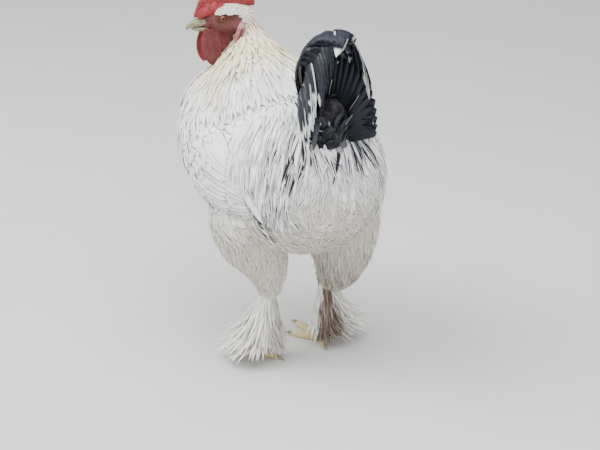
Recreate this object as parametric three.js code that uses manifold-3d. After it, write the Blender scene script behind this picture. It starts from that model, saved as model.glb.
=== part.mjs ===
// A life-size Brahma rooster that stands looking to its left, as a still model.
// Millimetres. X runs forward along the body, Y to the bird's left, Z up from the floor.
import * as THREE from "three";
import { mergeVertices } from "three/addons/utils/BufferGeometryUtils.js";
import Module from "manifold-3d";

const wasm = await Module();
wasm.setup();

// Driving sizes
const GAP = 0.4; // space kept between pieces that touch
const DEEP = 6; // how far a feather's root is sunk into what carries it
const HEAD_AT = new THREE.Vector3(186, 34, 577); // middle of the skull
const HEAD_TURN = THREE.MathUtils.degToRad(76); // to the bird's left
const HEAD_NOD = THREE.MathUtils.degToRad(0); // beak down
const LEGS = [
  {
    side: 1,
    name: "left",
    at: [4, 62],
    turn: 8,
    hock: [-12, 0, 114],
    reach: [1.25, 1.2, 0.8, 0.5],
    thigh: [
      [20, 80, 318, 46, 62, 62],
      [16, 84, 278, 66, 78, 78],
      [8, 84, 236, 67, 68, 70],
      [-3, 71, 196, 50, 50, 52],
      [-10, 61, 156, 28, 32, 35],
      [-9, 61, 128, 15, 18, 20],
      [-9, 61, 110, 0, 0, 0],
    ],
  },
  {
    side: -1,
    name: "right",
    at: [2, -54],
    turn: -5,
    hock: [-10, 0, 112],
    reach: [1.2, 1.4, 1.2, 0.7],
    thigh: [
      [10, -80, 318, 46, 62, 62],
      [2, -88, 278, 66, 78, 78],
      [-8, -90, 236, 68, 68, 70],
      [-16, -87, 196, 60, 52, 54],
      [-18, -78, 156, 46, 38, 44],
      [-14, -65, 126, 30, 26, 32],
      [-9, -56, 104, 0, 0, 0],
    ],
  },
];

const LEFT = new THREE.Vector3(0, 1, 0);
const UP = new THREE.Vector3(0, 0, 1);
const { degToRad, lerp, clamp } = THREE.MathUtils;
const vec = (x, y, z) => new THREE.Vector3(x, y, z);

// Repeatable draws between -1 and 1
function draws(seed) {
  let state = seed;
  return () => {
    state = (state * 1664525 + 1013904223) % 4294967296;
    return state / 2147483648 - 1;
  };
}

// A smooth curve through evenly spaced values, at t from 0 to 1
function through(values, t) {
  const spans = values.length - 1;
  const place = clamp(t, 0, 1) * spans;
  const i = Math.min(Math.floor(place), spans - 1);
  const u = place - i;
  const [a, b] = [values[i], values[i + 1]];
  const before = i > 0 ? values[i - 1] : 2 * a - b;
  const after = i < spans - 1 ? values[i + 2] : 2 * b - a;
  const bend = 2 * before - 5 * a + 4 * b - after;
  return a + 0.5 * u * (b - before + u * (bend + u * (3 * (a - b) + after - before)));
}

// A closed surface through rings of points. Each end closes on a point, by default the ring's middle.
// From column `turned` on, the squares are split the other way, so that both faces of a vane match.
function closed(rings, { start, end, turned = Infinity } = {}) {
  const n = rings[0].length;
  const middle = (ring) => ring.reduce((sum, p) => sum.add(p), vec(0, 0, 0)).divideScalar(n);
  const points = [...rings.flat(), start ?? middle(rings[0]), end ?? middle(rings.at(-1))];
  const [first, last] = [points.length - 2, points.length - 1];
  const faces = [];
  for (let j = 0; j < n; j++) {
    const k = (j + 1) % n;
    faces.push(first, j, k);
    for (let i = 0; i < rings.length - 1; i++) {
      const [a, b, c, d] = [i * n + j, (i + 1) * n + j, (i + 1) * n + k, i * n + k];
      if (j >= turned && j < n - 1) faces.push(a, b, d, b, c, d);
      else faces.push(a, b, c, a, c, d);
    }
    const base = (rings.length - 1) * n;
    faces.push(base + j, last, base + k);
  }
  return new THREE.BufferGeometry().setFromPoints(points).setIndex(faces);
}

// A body with oval sections. Each row is a section: its centre x, y, z, half width,
// and how far it reaches above and below the centre.
class Form {
  constructor(sections, { power = 2, rows = 12, columns = 14, upright = false } = {}) {
    this.tables = sections[0].map((_, k) => sections.map((row) => row[k]));
    Object.assign(this, { power, rows, columns, upright });
  }
  value(k, t) {
    return through(this.tables[k], t);
  }
  centre(t) {
    return vec(this.value(0, t), this.value(1, t), this.value(2, t));
  }
  axes(t) {
    if (this.upright) return { side: LEFT.clone(), up: UP.clone() };
    const step = 0.01;
    const along = this.centre(Math.min(t + step, 1)).sub(this.centre(Math.max(t - step, 0))).normalize();
    const side = LEFT.clone().addScaledVector(along, -along.dot(LEFT)).normalize();
    return { side, up: along.clone().cross(side) };
  }
  // The angle is 0 on top and a quarter turn on the left.
  point(t, angle) {
    const { side, up } = this.axes(t);
    const round = (v) => Math.sign(v) * Math.abs(v) ** (2 / this.power);
    const [s, c] = [round(Math.sin(angle)), round(Math.cos(angle))];
    const reach = Math.max(this.value(c >= 0 ? 4 : 5, t), 0);
    return this.centre(t)
      .addScaledVector(side, s * Math.max(this.value(3, t), 0))
      .addScaledVector(up, c * reach);
  }
  normal(t, angle) {
    const [dt, da] = [0.01, 0.03];
    const along = this.point(Math.min(t + dt, 1), angle).sub(this.point(Math.max(t - dt, 0), angle));
    const around = this.point(t, angle + da).sub(this.point(t, angle - da));
    const out = along.cross(around).normalize();
    return out.dot(this.point(t, angle).sub(this.centre(t))) < 0 ? out.negate() : out;
  }
  surface(t, angle, lift = 0) {
    return this.point(t, angle).addScaledVector(this.normal(t, angle), lift);
  }
  // The share of the form's length at a given x, on a form whose centre runs along X
  shareAt(x) {
    let [low, high] = [0, 1];
    for (let i = 0; i < 24; i++) {
      const middle = (low + high) / 2;
      if (this.value(0, middle) < x) low = middle;
      else high = middle;
    }
    return (low + high) / 2;
  }
  geometry() {
    const rings = [];
    const pole = (t) => this.value(3, t) < 1e-6;
    for (let i = 0; i <= this.rows; i++) {
      const t = i / this.rows;
      if (pole(t)) continue;
      const ring = [];
      for (let j = 0; j < this.columns; j++) ring.push(this.point(t, (j / this.columns) * 2 * Math.PI));
      rings.push(ring);
    }
    return closed(rings, {
      start: pole(0) ? this.centre(0) : undefined,
      end: pole(1) ? this.centre(1) : undefined,
    });
  }
}

// A geometry as a solid, facing out
function solid(geometry) {
  const bare = new THREE.BufferGeometry().setAttribute("position", geometry.getAttribute("position"));
  bare.setIndex(geometry.index);
  const merged = mergeVertices(bare, 1e-4);
  const make = (triVerts) =>
    new wasm.Manifold(
      new wasm.Mesh({ numProp: 3, vertProperties: merged.attributes.position.array, triVerts }),
    );
  const triVerts = new Uint32Array(merged.index.array);
  const made = make(triVerts);
  return made.volume() > 0 ? made : make(triVerts.reverse());
}

// The same surface moved out along its normals
function grown(geometry, by = GAP) {
  const wide = geometry.clone();
  wide.computeVertexNormals();
  const [at, out] = [wide.attributes.position, wide.attributes.normal];
  const made = solid(geometry);
  const sign = made.volume() > 0 && outward(geometry) ? 1 : -1;
  for (let i = 0; i < at.count; i++)
    at.setXYZ(
      i,
      at.getX(i) + sign * by * out.getX(i),
      at.getY(i) + sign * by * out.getY(i),
      at.getZ(i) + sign * by * out.getZ(i),
    );
  return solid(wide);
}

// Whether a geometry's faces point out, by the sign of its volume
function outward(geometry) {
  const at = geometry.attributes.position;
  const index = geometry.index.array;
  let volume = 0;
  for (let i = 0; i < index.length; i += 3) {
    const [a, b, c] = [0, 1, 2].map((k) => new THREE.Vector3().fromBufferAttribute(at, index[i + k]));
    volume += a.dot(b.cross(c));
  }
  return volume > 0;
}

const join = (pieces) => wasm.Manifold.union(pieces);
const cut = (whole, ...tools) => tools.reduce((left, tool) => left.subtract(tool), whole);
const largest = (whole) => whole.decompose().sort((a, b) => b.volume() - a.volume())[0];

function mesh(name, shape, material) {
  const { numProp, numVert, vertProperties, triVerts } = largest(shape).getMesh();
  const at = new Float32Array(numVert * 3);
  for (let i = 0; i < numVert; i++) at.set(vertProperties.subarray(i * numProp, i * numProp + 3), i * 3);
  const geometry = new THREE.BufferGeometry();
  geometry.setAttribute("position", new THREE.BufferAttribute(at, 3));
  geometry.setIndex(new THREE.BufferAttribute(new Uint32Array(triVerts), 1));
  const made = new THREE.Mesh(geometry, material);
  made.name = name;
  return made;
}

// A feather's flat blade along a path of places and normals, as a closed solid.
// shape(t) gives its half width; crown raises its middle line, and roll turns it about its length.
function vane(path, shape, { thick = 1, crown = 0, roll = 0 } = {}) {
  const across = crown ? [-1, 0, 1] : [-1, 1];
  const last = path.length - 1;
  const rings = path.slice(0, last).map(({ at, normal, t }, i) => {
    const along = path[i + 1].at.clone().sub(path[Math.max(i - 1, 0)].at).normalize();
    const out = normal.clone().addScaledVector(along, -along.dot(normal)).normalize();
    out.applyAxisAngle(along, roll);
    const side = out.clone().cross(along);
    const half = shape(t);
    const place = (s, face) =>
      at
        .clone()
        .addScaledVector(side, s * half)
        .addScaledVector(out, crown * (1 - s * s) + (face * thick) / 2);
    return [...across.map((s) => place(s, 1)), ...across.map((s) => place(-s, -1))];
  });
  return solid(closed(rings, { end: path[last].at.clone(), turned: across.length }));
}

// Blade outlines: half width at a share of the length
const narrowing = (t, from) => 1 - 0.75 * ((t - from) / (1 - from)) ** 1.6;
const lance = (half) => (t) => half * (t < 0.4 ? lerp(0.75, 1, t / 0.4) : narrowing(t, 0.4));
const rounding = (t) => 1 - 0.45 * ((t - 0.55) / 0.45) ** 2;
const paddle = (half) => (t) => half * (t < 0.55 ? lerp(0.55, 1, t / 0.55) : rounding(t));
const quill = (half) => (t) => half * (t < 0.45 ? lerp(0.35, 1, t / 0.45) : narrowing(t, 0.45));
const LANCE_STOPS = [0, 0.4, 0.76, 1];
const PADDLE_STOPS = [0, 0.45, 0.86, 1];

// The path of a feather that lies on a form, from one place to another, lifting off as it goes
function lie(form, from, to, lift, stops) {
  return stops.map((t) => {
    const [share, angle] = [lerp(from[0], to[0], t), lerp(from[1], to[1], t)];
    return { t, at: form.surface(share, angle, lift(t)), normal: form.normal(share, angle) };
  });
}

// The path of a feather that bows from its root past a knee to its tip, its face turned towards `face`
function bow(root, knee, tip, face, stops) {
  return stops.map((t) => {
    const near = root.clone().lerp(knee, t);
    const far = knee.clone().lerp(tip, t);
    return { t, at: near.clone().lerp(far, t), normal: face.clone() };
  });
}

// Materials
const finish = (color, roughness) => new THREE.MeshStandardMaterial({ color, roughness, metalness: 0 });
const whitePlumage = finish("#e9e6df", 0.8);
const creamPlumage = finish("#e8e0c8", 0.8);
const fluffPlumage = finish("#cfc6b4", 0.9);
const blackPlumage = finish("#1b1c22", 0.45);
const redSkin = finish("#a3282a", 0.55);
const yellowScale = finish("#c9a64b", 0.5);
const horn = finish("#b8a77c", 0.4);
const eyeball = finish("#7a3b12", 0.08);

const bird = new THREE.Group();

// Torso: breast, back, belly and the fluff behind, from the tail end forward
const TORSO = new Form(
  [
    [-158, 0, 336, 0, 0, 0],
    [-150, 0, 340, 50, 56, 52],
    [-126, 0, 346, 92, 98, 92],
    [-82, 0, 354, 124, 116, 126],
    [-20, 0, 361, 140, 118, 146],
    [45, 0, 368, 147, 120, 150],
    [115, 0, 380, 148, 120, 146],
    [175, 0, 397, 134, 106, 128],
    [216, 0, 412, 104, 80, 94],
    [238, 0, 422, 56, 42, 52],
    [246, 0, 426, 0, 0, 0],
  ],
  { power: 2.15, rows: 18, columns: 20, upright: true },
);
const torsoShape = TORSO.geometry();
const aroundTorso = grown(torsoShape);
const onTorso = (x, degrees) => [TORSO.shareAt(x), degToRad(degrees)];

// Wings: a pad over the side of the torso, with tiers of feathers that lie on it
const WING_FRONT = 166;
const WING_REAR = -82;
const WING_TOP = [84, 60, 55, 58, 68, 78]; // degrees from the back, front to rear
const WING_FOOT = [94, 118, 122, 118, 112, 102];
const WING_THICK = [3, 13, 15, 12, 8, 3];
// Each tier's roots and tips: shares of the wing's length, then of its height from top to foot
const WING_TIERS = [
  { count: 3, roots: [0.66, 0.66, 0.96], tips: [1.12, 0.5, 0.8], half: 12, lift: [-4, 1] },
  { count: 6, roots: [0.56, 0.1, 0.84], tips: [1.04, 0.12, 0.86], half: 15, lift: [-4, 5] },
  { count: 6, roots: [0.36, 0.07, 0.93], tips: [0.74, 0.08, 0.92], half: 16, lift: [-4, 8] },
  { count: 5, roots: [0.17, 0.1, 0.9], tips: [0.51, 0.06, 0.92], half: 16, lift: [-4, 10] },
];

// A place on the wing's outer face
function onWing(side, u, v) {
  const angle = side * lerp(through(WING_TOP, u), through(WING_FOOT, u), v);
  return onTorso(lerp(WING_FRONT, WING_REAR, u), angle);
}
const wingThick = (u, v) => (1 - 0.85 * Math.abs(2 * v - 1) ** 2.5) * through(WING_THICK, u);

function wing(side, grow = 0) {
  const [rows, columns] = [8, 5];
  const rings = [];
  for (let i = 1; i < rows; i++) {
    const u = i / rows;
    const shares = Array.from({ length: columns + 1 }, (_, j) => j / columns);
    rings.push([
      ...shares.map((v) => TORSO.surface(...onWing(side, u, v), grow + wingThick(u, v))),
      ...shares.reverse().map((v) => TORSO.surface(...onWing(side, u, v), -DEEP)),
    ]);
  }
  return solid(closed(rings));
}

function wingFeathers(side, swell = 0) {
  const draw = draws(11);
  return WING_TIERS.flatMap(({ count, roots, tips, half, lift }) =>
    Array.from({ length: count }, (_, k) => {
      const share = (k + 0.5) / count;
      const early = 0.05 * (0.5 - Math.abs(share - 0.5)) + 0.012 * draw();
      const path = PADDLE_STOPS.map((t) => {
        const u = lerp(roots[0], tips[0] + early, t);
        const v = lerp(lerp(roots[1], roots[2], share), lerp(tips[1], tips[2], share), t);
        const place = onWing(side, u, v);
        const rise = wingThick(u, v) + lerp(...lift, t);
        return { t, at: TORSO.surface(...place, rise), normal: TORSO.normal(...place) };
      });
      const outline = paddle(half);
      const shape = (t) => outline(t) + swell;
      return vane(path, shape, { roll: side * degToRad(9), thick: 1 + 2 * swell });
    }),
  );
}

const WINGS = { 1: "wing_left", [-1]: "wing_right" };
for (const side of [1, -1])
  bird.add(mesh(WINGS[side], cut(join([wing(side), ...wingFeathers(side)]), aroundTorso), whitePlumage));

// Saddle: long pointed feathers that fall from the back over the wings and round the tail
const SADDLE_ROWS = [
  { root: 0, tip: -56, angles: [14, 40], fall: 36, count: 3, half: 14 },
  { root: -42, tip: -98, angles: [12, 50], fall: 42, count: 4, half: 14 },
  { root: -80, tip: -134, angles: [22, 68], fall: 46, count: 5, half: 13 },
];

function saddle(side) {
  const draw = draws(23);
  return SADDLE_ROWS.flatMap(({ root, tip, angles, fall, count, half }) =>
    Array.from({ length: count }, (_, k) => {
      const angle = lerp(...angles, (k + 0.5) / count);
      const from = onTorso(root + 5 * draw(), side * angle);
      const to = onTorso(tip + 5 * draw(), side * (angle + fall + 4 * draw()));
      const path = lie(TORSO, from, to, (t) => lerp(-DEEP, 26, t ** 0.6), LANCE_STOPS);
      return vane(path, lance(half), { roll: side * degToRad(8) });
    }),
  );
}

// Tail: a root, two leaning walls of main feathers that meet on top and leave a hollow behind,
// then sickles and coverts that arch over them
const TAIL = new Form(
  [
    [-62, 0, 430, 26, 26, 34],
    [-90, 0, 446, 38, 34, 46],
    [-112, 0, 472, 36, 30, 42],
    [-122, 0, 500, 26, 22, 28],
    [-126, 0, 526, 0, 0, 0],
  ],
  { rows: 7, columns: 12 },
);
const WALL_LENGTHS = [148, 146, 136, 120, 106, 92];
const BOW_STOPS = [0, 0.3, 0.6, 0.85, 1];

function wallFeather(side, k) {
  const rise = degToRad(80 - 11 * k);
  const splay = degToRad(4 + 4.5 * k);
  const root = vec(-96 - 2 * k, side * (5 + 3 * k), 464 - 5 * k);
  const level = Math.cos(splay);
  const out = vec(-Math.cos(rise) * level, side * Math.sin(splay), Math.sin(rise) * level);
  const tip = root.clone().addScaledVector(out, WALL_LENGTHS[k]);
  const knee = root.clone().lerp(tip, 0.5).add(vec(8, side * 6, 9));
  return vane(bow(root, knee, tip, vec(0, side, 0.25), BOW_STOPS), paddle(17), { thick: 1.2 });
}

// Root, knee and tip on the left side, and half width
const ARCHES = [
  { root: [-84, 9, 500], knee: [-121, 20, 736], tip: [-186, 30, 575], half: 15 },
  { root: [-90, 16, 488], knee: [-135, 39, 700], tip: [-200, 42, 512], half: 13 },
  { root: [-82, 20, 480], knee: [-99, 40, 652], tip: [-168, 52, 536], half: 12 },
  { root: [-92, 24, 466], knee: [-123, 49, 633], tip: [-190, 54, 492], half: 12 },
  { root: [-80, 28, 462], knee: [-93, 51, 586], tip: [-158, 62, 486], half: 12 },
  { root: [-92, 30, 450], knee: [-124, 59, 559], tip: [-180, 60, 452], half: 11 },
];

function tailFeathers(side) {
  const walls = WALL_LENGTHS.map((_, k) => wallFeather(side, k));
  const place = ([x, y, z]) => vec(x, side * y, z);
  const arches = ARCHES.map(({ root, knee, tip, half }) => {
    const path = bow(place(root), place(knee), place(tip), vec(0.1, side, 0.35), BOW_STOPS);
    return vane(path, paddle(half), { thick: 1.2 });
  });
  return [...walls, ...arches];
}

const tailSolid = join([solid(TAIL.geometry()), ...tailFeathers(1), ...tailFeathers(-1)]);
bird.add(mesh("tail", cut(tailSolid, aroundTorso), blackPlumage));
const aroundTail = grown(TAIL.geometry(), 1);

const saddles = join([...saddle(1), ...saddle(-1)]);
const wingsSpace = join([1, -1].flatMap((side) => [wing(side, 2 * GAP), ...wingFeathers(side, GAP)]));
const torsoSolid = join([solid(torsoShape), cut(saddles, wingsSpace, aroundTail)]);
bird.add(mesh("torso", torsoSolid, whitePlumage));

// Neck: the cape that lies over the shoulders, narrowing to the back of the head
const NECK = new Form(
  [
    [60, 0, 398, 114, 96, 104],
    [98, 2, 436, 116, 94, 108],
    [134, 2, 480, 92, 76, 88],
    [160, -3, 520, 50, 52, 54],
    [176, -5, 550, 25, 32, 27],
    [181, 5, 580, 20, 21, 16],
  ],
  { rows: 9, columns: 16 },
);
const neckShape = NECK.geometry();
const aroundNeck = grown(neckShape);

function hackles() {
  const draw = draws(37);
  const rows = [
    { from: 0.34, to: 0.03, count: 12, half: 17, lift: 10 },
    { from: 0.53, to: 0.2, count: 10, half: 15, lift: 9 },
    { from: 0.7, to: 0.4, count: 8, half: 12, lift: 7 },
    { from: 0.87, to: 0.58, count: 7, half: 9, lift: 5 },
  ];
  return rows.flatMap(({ from, to, count, half, lift }, row) =>
    Array.from({ length: count }, (_, k) => {
      const angle = ((k + 0.5 * (row % 2)) / count) * 2 * Math.PI;
      const rise = (t) => lerp(-DEEP * 0.7, lift, t ** 0.7);
      const tip = [to + 0.02 * draw(), angle + 0.06 * draw()];
      return vane(lie(NECK, [from, angle], tip, rise, LANCE_STOPS), lance(half), { roll: degToRad(7) });
    }),
  );
}

// Head, in its own frame: X along the beak, Y to its left, Z up
const head = new THREE.Group();
head.position.copy(HEAD_AT);
head.rotation.set(0, HEAD_NOD, HEAD_TURN, "ZYX");
head.updateMatrixWorld(true);
bird.add(head);
const toHead = head.matrixWorld.clone().invert();

const SKULL = new Form(
  [
    [-44, 0, -4, 0, 0, 0],
    [-38, 0, -4, 17, 18, 20],
    [-18, 0, -1, 23, 24, 29],
    [4, 0, 0, 22, 25, 28],
    [22, 0, -1, 17, 20, 21],
    [34, 0, -4, 12, 13, 14],
    [42, 0, -6, 8, 9, 9],
  ],
  { rows: 10, columns: 14 },
);
const EYE = vec(9, 18, 6);
const EYE_RADIUS = 6.2;
const skullShape = SKULL.geometry();
const aroundSkull = grown(skullShape);

function ball(at, radius, columns = 9, rows = 6) {
  return new THREE.SphereGeometry(radius, columns, rows).translate(at.x, at.y, at.z);
}

function lids(side) {
  const ring = new THREE.TorusGeometry(EYE_RADIUS + 0.8, 1.9, 4, 10);
  ring.scale(1.18, 0.92, 1).rotateX(Math.PI / 2);
  return solid(ring.translate(EYE.x, side * (EYE.y + 1.6), EYE.z));
}

const eyeAt = (side) => vec(EYE.x, side * EYE.y, EYE.z);
const gape = solid(new THREE.BoxGeometry(26, 60, 0.8).rotateY(0.12).translate(38, 0, -9));
const headSolid = cut(
  join([solid(skullShape), lids(1), lids(-1)]),
  solid(ball(eyeAt(1), EYE_RADIUS + GAP)),
  solid(ball(eyeAt(-1), EYE_RADIUS + GAP)),
  gape,
  grown(neckShape.clone().applyMatrix4(toHead)),
);
head.add(mesh("head", headSolid, redSkin));
head.add(mesh("eye_left", solid(ball(eyeAt(1), EYE_RADIUS)), eyeball));
head.add(mesh("eye_right", solid(ball(eyeAt(-1), EYE_RADIUS)), eyeball));

// Beak
const UPPER_BEAK = new Form(
  [
    [30, 0, -3, 10.5, 9, 5],
    [44, 0, -3, 9, 8.5, 5],
    [56, 0, -5, 7, 7, 4.5],
    [66, 0, -9, 4.4, 5, 4],
    [71, 0, -16, 0, 0, 0],
  ],
  { rows: 7, columns: 8 },
);
const LOWER_BEAK = new Form(
  [
    [30, 0, -15, 9, 5.5, 5],
    [44, 0, -14.5, 7.6, 4.6, 4.6],
    [55, 0, -14, 5.4, 3.4, 3.6],
    [63, 0, -13.6, 0, 0, 0],
  ],
  { rows: 5, columns: 8 },
);
const upperShape = UPPER_BEAK.geometry();
const NOSTRIL = new THREE.SphereGeometry(1, 8, 6).scale(3.4, 2.4, 1.4);
const nostril = (side) => solid(NOSTRIL.clone().translate(48, side * 9, -0.5));
head.add(mesh("beak_upper", cut(solid(upperShape), aroundSkull, nostril(1), nostril(-1)), horn));
head.add(mesh("beak_lower", cut(solid(LOWER_BEAK.geometry()), aroundSkull, grown(upperShape)), horn));

// Comb: three ridges with blunt points, the middle one a tall blade that runs back past the crown
function ridge({ from, to, base, drop, height, half, points, y, steps }) {
  const sections = [];
  for (let i = 0; i <= steps; i++) {
    const t = i / steps;
    const arch = Math.sin(Math.PI * t);
    const point = 0.84 - 0.16 * Math.cos(2 * Math.PI * points * t);
    const rise = height[0] + height[1] * arch ** 0.7;
    const at = [lerp(from, to, t), y, base - drop * t ** 3];
    const ends = i === 0 || i === steps;
    sections.push(ends ? [...at, 0, 0, 0] : [...at, half * (0.45 + 0.55 * arch ** 0.5), rise * point, 7]);
  }
  return new Form(sections, { rows: steps, columns: 6, power: 1.8, upright: true });
}
const SIDE_RIDGE = { from: 0, to: 52, base: 19, drop: 9, height: [6, 9], half: 5, points: 4, steps: 8 };
const MAIN_RIDGE = { from: -54, to: 57, base: 27, drop: 16, height: [10, 28], half: 6, points: 5, steps: 15 };
const comb = join([
  solid(ridge({ ...MAIN_RIDGE, y: 0 }).geometry()),
  solid(ridge({ ...SIDE_RIDGE, y: 8 }).geometry()),
  solid(ridge({ ...SIDE_RIDGE, y: -8 }).geometry()),
]);
const neckInHead = neckShape.clone().applyMatrix4(toHead);
head.add(mesh("comb", cut(comb, aroundSkull, grown(upperShape), grown(neckInHead, 1)), redSkin));

// Wattles and ear lobes hang as flat lobes with soft folds
function lobe({ top, swing, length, half, thick, side, rows = 7 }) {
  const sections = [];
  for (let i = 0; i <= 6; i++) {
    const t = i / 6;
    const wide = half * Math.sin(Math.PI * (0.16 + 0.84 * t)) ** 0.6;
    const at = [top[0] + swing[0] * t, side * (top[1] + swing[1] * t), top[2] - length * t];
    const flat = thick * (0.75 + 0.25 * Math.cos(5 * Math.PI * t));
    sections.push(i === 6 ? [...at, 0, 0, 0] : [...at, flat, wide, wide]);
  }
  return new Form(sections, { rows, columns: 8 });
}
const hanging = [];
for (const [side, name] of [[1, "left"], [-1, "right"]]) {
  const forward = side > 0 ? 0 : 9; // the right wattle swings ahead of the left
  const wattle = lobe({ top: [27, 9, -13], swing: [forward, 5], length: 66, half: 20, thick: 3.8, side });
  const wattleShape = wattle.geometry();
  const beakSpace = grown(LOWER_BEAK.geometry());
  head.add(mesh(`wattle_${name}`, cut(solid(wattleShape), aroundSkull, beakSpace), redSkin));
  const ear = lobe({ top: [-27, 21, -1], swing: [20, 15], length: 50, half: 8, thick: 3.6, side });
  const earShape = ear.geometry();
  const earSolid = cut(solid(earShape), aroundSkull, grown(wattleShape));
  head.add(mesh(`earlobe_${name}`, earSolid, redSkin));
  for (const shape of [wattleShape, earShape])
    hanging.push(grown(shape.clone().applyMatrix4(head.matrixWorld)));
}
const headSpace = aroundSkull.transform(head.matrixWorld.toArray());
const neckSolid = join([solid(neckShape), cut(join(hackles()), headSpace)]);
bird.add(mesh("neck", cut(neckSolid, aroundTorso, wing(1, GAP), wing(-1, GAP), ...hanging), creamPlumage));

// Legs: a fluffy thigh on the body, then shank, foot and claws in a frame that stands on the floor
const TOES = [
  { name: "middle", aim: 0, length: 78 },
  { name: "inner", aim: 34, length: 58 },
  { name: "outer", aim: -36, length: 62 },
  { name: "hind", aim: 160, length: 30 },
];

function toe(length) {
  const sections = [];
  const joints = 4;
  for (let i = 0; i <= joints; i++) {
    const t = i / joints;
    const z = lerp(8.4, 4.6, t);
    const reach = z + (i % 2 ? -0.3 : 0.8);
    const end = i === joints;
    const at = [lerp(-4, length, t), 0, end ? 4 : z];
    sections.push(end ? [...at, 0, 0, 0] : [...at, reach * 0.92, reach, reach]);
  }
  return new Form(sections, { rows: 5, columns: 6 });
}

function claw(length) {
  const sections = [
    [length - 9, 0, 6, 3.2, 3.4, 3],
    [length, 0, 6.4, 2.9, 3.1, 3],
    [length + 8, 0, 5, 2, 2.2, 2],
    [length + 16, 0, 1.4, 0, 0, 0],
  ];
  return new Form(sections, { rows: 4, columns: 6 });
}

// The feathers of a leg fan outward from the shank, longest to the front and outer side.
// reach scales them at each turn, from the front round the outer side to the back.
const SHANK_TIERS = [
  { z: 86, far: 58, drop: 56 },
  { z: 62, far: 70, drop: 46 },
  { z: 38, far: 72, drop: 28 },
];

function legFeathers(side, reach) {
  const draw = draws(51 + side);
  const made = { shank: [], foot: [] };
  SHANK_TIERS.forEach(({ z, far, drop }, tier) => {
    reach.forEach((scale, k) => {
      const aim = degToRad(-34 + 46 * k + 14 * (tier % 2) + 4 * draw());
      const out = vec(-Math.sin(aim), side * Math.cos(aim), 0);
      const root = vec(-4, 0, z).addScaledVector(out, 3);
      const tip = root.clone().addScaledVector(out, far * scale).addScaledVector(UP, -drop);
      const knee = root.clone().lerp(tip, 0.45).addScaledVector(UP, 10).addScaledVector(out, 6);
      const face = out.clone().multiplyScalar(drop).addScaledVector(UP, far * scale).normalize();
      made.shank.push(vane(bow(root, knee, tip, face, LANCE_STOPS), quill(13), { roll: degToRad(8) }));
    });
  });
  for (let k = 0; k < 4; k++) {
    const aim = -side * degToRad(-24 - 17 * k);
    const root = vec(12 + 10 * (3 - k), side * (6 + (3 - k)), 10);
    const out = vec(Math.cos(aim), Math.sin(aim), 0);
    const tip = root.clone().addScaledVector(out, 50 + 5 * draw()).addScaledVector(UP, -7);
    const knee = root.clone().lerp(tip, 0.5).addScaledVector(UP, 8);
    made.foot.push(vane(bow(root, knee, tip, UP, LANCE_STOPS), quill(10)));
  }
  return made;
}

const floor = solid(new THREE.BoxGeometry(600, 600, 40).translate(0, 0, -20));
for (const { side, name, at, turn, hock, reach, thigh } of LEGS) {
  const leg = new THREE.Group();
  leg.position.set(...at, 0);
  leg.rotation.z = side * degToRad(turn);
  leg.updateMatrixWorld(true);
  bird.add(leg);
  const toLeg = leg.matrixWorld.clone().invert();
  const thighShape = new Form(thigh, { rows: 9, columns: 12 }).geometry();
  const wingSpace = join([wing(side, 1), ...wingFeathers(side, 1)]);
  bird.add(mesh(`thigh_${name}`, cut(solid(thighShape), aroundTorso, wingSpace), fluffPlumage));

  const shank = new Form(
    [
      [hock[0], 0, hock[2] + 26, 11, 12, 12],
      [hock[0], 0, hock[2], 10, 12, 11],
      [hock[0] * 0.7, 0, 78, 8, 9, 9],
      [hock[0] * 0.3, 0, 44, 8, 9, 9],
      [0, 0, 18, 10, 12, 11],
      [0, 0, 8, 7, 8, 8],
    ],
    { rows: 6, columns: 8 },
  );
  const shankShape = shank.geometry();
  const feathers = legFeathers(side, reach);
  const toes = TOES.map(({ aim, length }) => toe(length).geometry().rotateZ(side * degToRad(-aim)));
  const claws = TOES.map(({ aim, length }) => claw(length).geometry().rotateZ(side * degToRad(-aim)));
  const aroundThigh = grown(thighShape.clone().applyMatrix4(toLeg));
  const aroundFoot = join(toes.map((t) => grown(t)));
  const footFeathers = cut(join(feathers.foot), ...claws.map((c) => grown(c)));
  const foot = cut(join([...toes.map(solid), footFeathers]), floor, grown(shankShape));
  leg.add(mesh(`foot_${name}`, foot, yellowScale));
  const shankSolid = cut(join([solid(shankShape), ...feathers.shank]), aroundThigh, floor, aroundFoot);
  leg.add(mesh(`shank_${name}`, shankSolid, fluffPlumage));
  TOES.forEach(({ name: toeName }, k) => {
    leg.add(mesh(`claw_${name}_${toeName}`, cut(solid(claws[k]), aroundFoot, floor), horn));
  });
}

// The middle of the model's box stands over the origin.
const box = new THREE.Box3().setFromObject(bird);
bird.position.set(-(box.min.x + box.max.x) / 2, -(box.min.y + box.max.y) / 2, -box.min.z);
bird.updateMatrixWorld(true);

export default bird;
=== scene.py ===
import math

import bpy
import numpy as np
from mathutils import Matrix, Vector
from mathutils.bvhtree import BVHTree


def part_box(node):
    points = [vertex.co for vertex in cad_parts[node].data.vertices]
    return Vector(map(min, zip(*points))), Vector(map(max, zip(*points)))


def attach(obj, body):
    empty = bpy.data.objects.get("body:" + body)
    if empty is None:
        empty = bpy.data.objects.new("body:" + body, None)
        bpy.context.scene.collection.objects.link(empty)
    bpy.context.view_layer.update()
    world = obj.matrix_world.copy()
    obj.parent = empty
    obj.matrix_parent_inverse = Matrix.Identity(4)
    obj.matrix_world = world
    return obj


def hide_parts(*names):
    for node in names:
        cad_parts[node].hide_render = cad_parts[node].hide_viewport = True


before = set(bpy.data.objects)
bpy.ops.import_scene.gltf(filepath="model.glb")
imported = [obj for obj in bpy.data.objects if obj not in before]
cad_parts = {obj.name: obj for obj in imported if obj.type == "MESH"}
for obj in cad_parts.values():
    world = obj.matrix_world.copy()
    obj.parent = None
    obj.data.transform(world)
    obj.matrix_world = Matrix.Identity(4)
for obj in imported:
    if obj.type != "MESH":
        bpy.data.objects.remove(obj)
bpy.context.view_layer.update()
rng = np.random.default_rng(7)

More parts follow.
